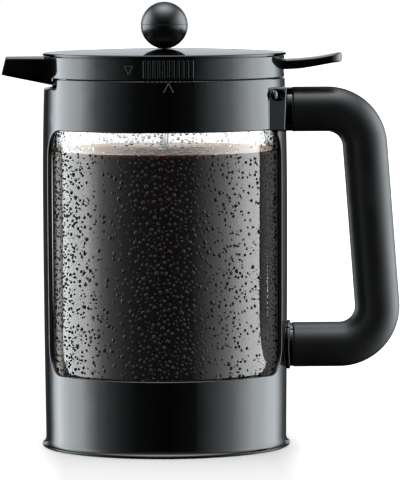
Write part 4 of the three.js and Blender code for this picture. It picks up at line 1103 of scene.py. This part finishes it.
class Graph:
    """The nodes of one material or world."""

    def __init__(self, owner):
        owner.use_nodes = True
        self.nodes, self.links = owner.node_tree.nodes, owner.node_tree.links
        self.shader = self.nodes.get("Principled BSDF") or self.nodes.get("Background")

    def fill(self, node, sockets):
        """Gives sockets their values. A value that is another node's output is linked."""
        for name, value in sockets.items():
            if isinstance(value, bpy.types.NodeSocket):
                self.links.new(value, node.inputs[name])
            else:
                node.inputs[name].default_value = value

    def add(self, kind, output, sockets, **settings):
        node = self.nodes.new("ShaderNode" + kind)
        for name, value in settings.items():
            setattr(node, name, value)
        self.fill(node, sockets)
        return node.outputs[output]

    def compute(self, operation, first, second=0.0):
        return self.add("Math", 0, {0: first, 1: second}, operation=operation)

    def mix(self, share, first, second, kind="FLOAT"):
        return self.add("Mix", "Result", {"Factor": share, "A": first, "B": second}, data_type=kind)

    def noise(self, scale, stretch=None):
        spot = self.add("TexCoord", "Object", {})
        if stretch:
            spot = self.add("Mapping", "Vector", {"Vector": spot, "Scale": stretch})
        return self.add("TexNoise", "Fac", {"Vector": spot, "Scale": scale, "Detail": NOISE_DETAIL})

    def ranged(self, source, low, high):
        """Spreads a noise's middle over a range."""
        least, most = NOISE_RANGE
        sockets = {"Value": source, "From Min": least, "From Max": most, "To Min": low, "To Max": high}
        return self.add("MapRange", "Result", sockets)

    def ramp(self, source, stops):
        """Reads a table of (place, value) whose places run from -1 to 1."""
        share = self.add("MapRange", "Result", {"Value": source, "From Min": -1, "From Max": 1})
        table = self.nodes.new("ShaderNodeValToRGB")
        elements = table.color_ramp.elements
        while len(elements) < len(stops):
            elements.new(0.5)
        # Twice, because the stops are sorted again as they move
        for turn in range(2):
            for element, (place, value) in zip(elements, stops):
                element.position = (place + 1) / 2
                element.color = (value, value, value, 1)
        self.fill(table, {"Fac": share})
        return table.outputs["Color"]

    def place(self, axis):
        """The piece's own place along an axis, in metres."""
        return self.add("SeparateXYZ", axis, {"Vector": self.add("TexCoord", "Object", {})})

    def facing(self, stops):
        """Reads a table by how far the surface turns from the view: 0 faces it, 1 is edge on."""
        return self.ramp(self.add("LayerWeight", "Facing", {"Blend": 0.5}), stops)


def surface(name, dark, light, rough, fine, depth, broad=60.0, stretch=None, **sockets):
    """A finish with two tones, a varying roughness and a fine bump, from noise in the piece's own space."""
    material = bpy.data.materials.new(name)
    graph = Graph(material)
    patches = graph.noise(broad, stretch)
    bump = {"Strength": 1.0, "Distance": depth, "Height": graph.noise(fine, stretch)}
    graph.fill(graph.shader, {
        "Base Color": graph.mix(graph.ranged(patches, 0, 1), (*dark, 1), (*light, 1), "RGBA"),
        "Roughness": graph.ranged(patches, *rough),
        "Normal": graph.add("Bump", "Normal", bump),
    })
    graph.fill(graph.shader, {socket.replace("_", " "): value for socket, value in sockets.items()})
    return material


POLISHED = dict(dark=(0.0007, 0.0008, 0.0009), light=(0.0012, 0.0013, 0.0014), rough=(0.05, 0.08), fine=900,
                depth=0.0000006, IOR=1.5)
GLOSS = surface("gloss_black", **POLISHED)
DOME = surface("dome_black", **POLISHED)
SATIN = surface("knob_black", dark=(0.0012, 0.0013, 0.0014), light=(0.0018, 0.0019, 0.002),
                rough=(0.28, 0.31), fine=900, depth=0.0000006, IOR=1.5)
SOFT = surface("soft_black", dark=(0.0035, 0.0037, 0.0039), light=(0.0055, 0.0057, 0.006), rough=(0.34, 0.42),
               fine=5200, depth=0.00001, IOR=1.48)
STEEL = surface("bright_steel", dark=(0.5, 0.5, 0.51), light=(0.66, 0.66, 0.67), rough=(0.14, 0.24),
                fine=1500, depth=0.000002, stretch=(1, 1, 0.08), Metallic=1.0)
MESH = surface("woven_steel", dark=(0.34, 0.34, 0.35), light=(0.6, 0.6, 0.61), rough=(0.25, 0.45), fine=4200,
               depth=0.00004, Metallic=1.0)
BRASS = surface("turned_brass", dark=(0.55, 0.4, 0.17), light=(0.7, 0.54, 0.27), rough=(0.2, 0.35), fine=1200,
                depth=0.000004, Metallic=1.0)
SILICONE = surface("grey_silicone", dark=(0.03, 0.031, 0.033), light=(0.05, 0.052, 0.055), rough=(0.5, 0.65),
                   fine=2500, depth=0.00001)
CLEAR = surface("clear_jug", dark=(0.97, 0.98, 0.98), light=(0.99, 0.99, 0.99), rough=(0.0, 0.015), fine=120,
                depth=0.000002, Transmission_Weight=1.0, IOR=1.49, Specular_Tint=(1.36, 1.26, 1.2, 1))
WATER = surface("water_drops", dark=(0.98, 0.985, 0.99), light=(1.0, 1.0, 1.0), rough=(0.0, 0.01), fine=400,
                depth=0.000001, Transmission_Weight=1.0, IOR=1.33)
COFFEE = surface("coffee", dark=(0.0055, 0.003, 0.0022), light=(0.0075, 0.0042, 0.0032), rough=(0.1, 0.2),
                 fine=90, depth=0.00001, Specular_IOR_Level=0)
SKIM = surface("coffee_surface", dark=(0.26, 0.13, 0.065), light=(0.37, 0.2, 0.11), rough=(0.4, 0.6),
               fine=700, depth=0.00001, broad=160, Specular_IOR_Level=0)
DARK_DROPS = surface("drops_over_coffee", dark=(0.004, 0.0032, 0.003), light=(0.008, 0.0062, 0.0058),
                     rough=(0.0, 0.03), fine=400, depth=0.000001, IOR=1.36)
FAINT_MARK = surface("mark_dark_grey", dark=(0.028, 0.029, 0.03), light=(0.04, 0.042, 0.043),
                     rough=(0.3, 0.4), fine=2500, depth=0.000003)
MARK = surface("mark_grey", dark=(0.075, 0.078, 0.08), light=(0.1, 0.104, 0.107), rough=(0.3, 0.4), fine=2500,
               depth=0.000003)


def painted_warm_band(material, low, high, tone):
    """Blends a finish into another tone between two heights of the piece, which on the coffee is a painted
    band of light along its top.
    """
    graph = Graph(material)
    ends = {"Value": graph.place("Z"), "From Min": low * MM, "From Max": high * MM}
    plain = graph.shader.inputs["Base Color"].links[0].from_socket
    warm = graph.mix(graph.add("MapRange", "Result", ends), plain, (*tone, 1), "RGBA")
    graph.fill(graph.shader, {"Base Color": warm})


def painted_side_light(material, stops, tone, back_stops=None):
    """Paints light on a finish as emission, by the distance in metres to either side of the axis, and by that
    behind it.
    """
    graph = Graph(material)
    painted_glow = graph.ramp(graph.compute("ABSOLUTE", graph.place("X")), stops)
    if back_stops:
        painted_glow = graph.compute("MAXIMUM", painted_glow, graph.ramp(graph.place("Y"), back_stops))
    graph.fill(graph.shader, {"Emission Color": (*tone, 1), "Emission Strength": painted_glow})


def painted_edge_light(material, spout_side, handle_side, tone):
    """Paints light on a finish as emission on each side of the jug, by how far it turns from the view."""
    graph = Graph(material)
    to_handle = graph.compute("GREATER_THAN", graph.place("X"))
    painted_glow = graph.mix(to_handle, graph.facing(spout_side), graph.facing(handle_side))
    graph.fill(graph.shader, {"Emission Color": (*tone, 1), "Emission Strength": painted_glow})


# Painted light on the coffee: a lighter warm band at its top, and emission at its edges and on its top
# surface
painted_warm_band(COFFEE, COFFEE_TOP_Z - COFFEE_RIM, COFFEE_TOP_Z, COFFEE_RIM_PAINTED_LIGHT_TONE)
painted_edge_light(COFFEE, COFFEE_PAINTED_LIGHT_SPOUT_SIDE, COFFEE_PAINTED_LIGHT_HANDLE_SIDE, COFFEE_PAINTED_LIGHT_TONE)
painted_side_light(SKIM, SKIM_PAINTED_LIGHT, SKIM_PAINTED_LIGHT_TONE, SKIM_PAINTED_BACK_LIGHT)
dome_graph = Graph(DOME)
dome_graph.fill(dome_graph.shader, {"Specular IOR Level": dome_graph.facing(DOME_SHINE)})


def piece(name, form, body, material, nodes=(), sharp=PIECE_SHARP):
    """Finishes a form as a mesh in metres, hands it to its body, and hides the CAD nodes it stands for."""
    clean(form).transform(Matrix.Scale(MM, 4))
    made = new_object(name, form)
    made.data.shade_smooth()
    made.data.set_sharp_from_angle(angle=sharp * DEGREE)
    made.data.materials.append(material)
    weighted = made.modifiers.new("face_normals", "WEIGHTED_NORMAL")
    weighted.keep_sharp = True
    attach(made, body)
    if nodes:
        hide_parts(*nodes)
    return made


def whole_node(co):
    return True


piece("frame_moulding", frame_form(), "frame", GLOSS, ["frame"])
inside_wall = COLLAR_RADIUS - WALL + INSIDE_SLACK
inner_frame = kept_faces("frame", lambda co: co.z > FLOOR_TOP_Z and co.xy.length < inside_wall)
piece("frame_ribs", inner_frame, "frame", GLOSS)
piece("handle_moulding", core_form(), "frame", GLOSS, ["handle_core"])
piece("handle_sleeve", grip_form(), "frame", SOFT, ["handle_grip"])
piece("screw_front", screw_form(-1), "frame", GLOSS, ["saddle_screw_front"])
piece("screw_back", screw_form(1), "frame", GLOSS, ["saddle_screw_back"])
piece("clear_jug", jug_form(), "jug", CLEAR, ["jug"])
piece("coffee", coffee_form(), "jug", COFFEE)
piece("coffee_surface", coffee_surface_form(), "jug", SKIM)
front_middle = 270 + (SPOUT_STRUT_HALF - HANDLE_STRUT_HALF) / 2
window_half = 90 - (SPOUT_STRUT_HALF + HANDLE_STRUT_HALF) / 2 + DROP_MARGIN_ANGLE
for side, middle in (("front", front_middle), ("back", -front_middle)):
    over, above = drops_form(middle, window_half, DROP_SEED)
    piece("drops_low_" + side, over, "jug", DARK_DROPS)
    piece("drops_high_" + side, above, "jug", WATER)
below_spout = BAND_BOTTOM_Z - 2 * SPOUT_ROOT_DROP
lid_inside = kept_faces("lid_base", lambda co: co.xy.length < LID_INSIDE_RADIUS or co.z < below_spout)
piece("lid_moulding", joined(band_form(), lid_inside), "lid", GLOSS, ["lid_base"])
piece("lid_dome", cap_form(), "lid", DOME, ["lid_cap"])
piece("lever_moulding", lever_form(), "lever", GLOSS, ["thumb_lever"])
piece("knob_half_lower", knob_form(True), "plunger", SATIN, ["knob_lower"])
piece("knob_half_upper", knob_form(False), "plunger", SATIN, ["knob_upper"])
piece("steel_rod", rod_form(), "plunger", STEEL, ["plunger_rod"])

half = TRIANGLE_WIDTH / 2
triangle = [(-half, TRIANGLE_TOP_Z), (half, TRIANGLE_TOP_Z), (0, TRIANGLE_TOP_Z - TRIANGLE_HEIGHT)]
triangle_form = mark_form(triangle, True, TRIANGLE_ANGLE, BAND_RADIUS)
piece("mark_triangle", triangle_form, "lid", FAINT_MARK)
half, caret_low = CARET_WIDTH / 2, CARET_TOP_Z - CARET_HEIGHT
caret = [(-half, caret_low), (0, CARET_TOP_Z), (half, caret_low)]
caret_form = mark_form(caret, False, -90, frame_radius(CARET_TOP_Z - CARET_HEIGHT / 2))
piece("mark_caret", caret_form, "frame", MARK)

# CAD nodes that are carried over, with their facets smoothed
SMOOTHED = {
    "handle_screw_upper": STEEL, "handle_screw_lower": STEEL, "jug_cushion": SILICONE, "lid_seal": SILICONE,
    "rod_bush": SILICONE, "lever_pin": STEEL, "lever_spring": STEEL, "valve_pad": SILICONE,
    "knob_insert": BRASS, "rod_collar": STEEL, "spring_plate": STEEL, "edge_spring": STEEL,
    "mesh_filter": MESH, "cross_plate": STEEL,
}
# The lever's spring gets a mesh of its own
for node, material in SMOOTHED.items():
    body, smooth = frame["nodes"][node]["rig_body"], kept_faces(node, whole_node)
    made = piece(node + "_finish", smooth, body, material, [node], sharp=NODE_SHARP)
    if node == "lever_spring":
        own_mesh(made)


# Stage, light and camera

FLOOR_HALF = 9
FLOOR_ROUGHNESS = (0.8, 0.95)
FLOOR_NOISE = 30
# Painted light: the floor's own light by the distance in metres to either side of the axis, which hides the
# object's shadow at its sides so that its shadow lies only in front
FLOOR_PAINTED_LIGHT = [(0, 0.05), (0.058, 0.05), (0.074, 0.5), (1, 0.5)]
# What glossy surfaces see around the object: degrees from the front, positive to the spout, and brightness
STUDIO = [
    (-180, 0.01), (-166, 0.01), (-154, 0.02), (-146, 0.05), (-138, 0.2), (-125, 0.7), (-112, 0.95),
    (-90, 1.0), (-78, 0.75), (-63, 0.35), (-50, 0.19), (-37, 0.082), (-25, 0.012), (0, 0.002), (30, 0.012),
    (44, 0.043), (58, 0.11), (70, 0.237), (80, 0.55), (90, 0.95), (98, 1.0), (125, 1.0), (135, 0.47),
    (142, 0.1), (150, 0.01), (166, 0.01), (180, 0.01),
]
STUDIO_LIGHT = 6.0
# The side lights' strength by the sine of the height, the light overhead, and the white backdrop behind
SIDE_HEIGHTS = [(-1, 0), (-0.7, 0.1), (-0.3, 0.7), (-0.15, 1), (0.45, 1), (0.7, 0.25), (0.85, 0)]
OVERHEAD = [(-1, 0), (0.3, 0), (0.5, 0.02), (0.65, 0.05), (0.8, 0.14), (0.88, 0.32), (0.95, 0.55), (1, 1)]
OVERHEAD_LIGHT = 8.5
BEHIND = [(-180, 1), (-160, 1), (-148, 0), (148, 0), (160, 1), (180, 1)]
BEHIND_HEIGHTS = [(-1, 0), (0.004, 0), (0.02, 1), (0.17, 1), (0.26, 0), (1, 0)]
BEHIND_LIGHT = 0.7
STUDIO_TINT = (0.93, 1.0, 1.04, 1)


def white_floor():
    form = bmesh.new()
    bmesh.ops.create_grid(form, x_segments=1, y_segments=1, size=FLOOR_HALF)
    floor = new_object("floor", form)
    material = bpy.data.materials.new("white_paper")
    graph = Graph(material)
    graph.fill(graph.shader, {
        "Roughness": graph.ranged(graph.noise(FLOOR_NOISE), *FLOOR_ROUGHNESS),
        "Base Color": (1, 1, 1, 1),
        "Specular IOR Level": 0,
    })
    # Painted light: the floor glows by its distance from the axis
    painted_side_light(material, FLOOR_PAINTED_LIGHT, (1, 1, 1))
    floor.data.materials.append(material)
    floor.visible_glossy = False
    floor.visible_diffuse = False


def studio_light(graph):
    """The brightness that a glossy surface sees, by direction."""
    direction = graph.add("TexCoord", "Generated", {})
    x, y, z = [graph.add("SeparateXYZ", axis, {"Vector": direction}) for axis in "XYZ"]
    angle = graph.compute("ARCTAN2", graph.compute("MULTIPLY", x, -1), graph.compute("MULTIPLY", y, -1))
    turn = graph.compute("DIVIDE", angle, math.pi)

    def light(strength, heights, turns=None):
        lit = graph.compute("MULTIPLY", graph.ramp(z, heights), strength)
        if not turns:
            return lit
        table = [(place / 180, value) for place, value in turns]
        return graph.compute("MULTIPLY", graph.ramp(turn, table), lit)

    side = light(STUDIO_LIGHT, SIDE_HEIGHTS, STUDIO)
    overhead = light(OVERHEAD_LIGHT, OVERHEAD)
    behind = light(BEHIND_LIGHT, BEHIND_HEIGHTS, BEHIND)
    return graph.compute("MAXIMUM", graph.compute("MAXIMUM", side, overhead), behind)


def studio_world():
    """White to the view and to matt surfaces, and the studio's lights to glossy ones."""
    world = bpy.data.worlds.new("studio")
    bpy.context.scene.world = world
    graph = Graph(world)
    mirrored = graph.compute("GREATER_THAN", graph.add("LightPath", "Glossy Depth", {}), 0.5)
    glossy = graph.compute("MAXIMUM", graph.add("LightPath", "Is Glossy Ray", {}), mirrored)
    graph.fill(graph.shader, {
        "Strength": graph.mix(glossy, 1.0, studio_light(graph)),
        "Color": graph.mix(glossy, (1, 1, 1, 1), STUDIO_TINT, "RGBA"),
    })


def set_camera():
    data = bpy.data.cameras.new("camera")
    data.sensor_width = SENSOR
    data.lens = FOCAL_PIXELS / IMAGE_HEIGHT * SENSOR
    data.clip_end = CLIP_END
    camera = bpy.data.objects.new("camera", data)
    bpy.context.scene.collection.objects.link(camera)
    place = around(CAMERA_DISTANCE, 270 - CAMERA_AZIMUTH, CAMERA_HEIGHT) * MM
    heading = Matrix.Rotation(-(CAMERA_AZIMUTH + CAMERA_ASIDE) * DEGREE, 4, "Z")
    tilt = Matrix.Rotation((90 - CAMERA_TILT) * DEGREE, 4, "X")
    roll = Matrix.Rotation(CAMERA_ROLL * DEGREE, 4, "Z")
    camera.matrix_world = Matrix.Translation(place) @ heading @ tilt @ roll
    bpy.context.scene.camera = camera


white_floor()
studio_world()
set_camera()
bpy.context.scene.view_settings.view_transform = "Standard"
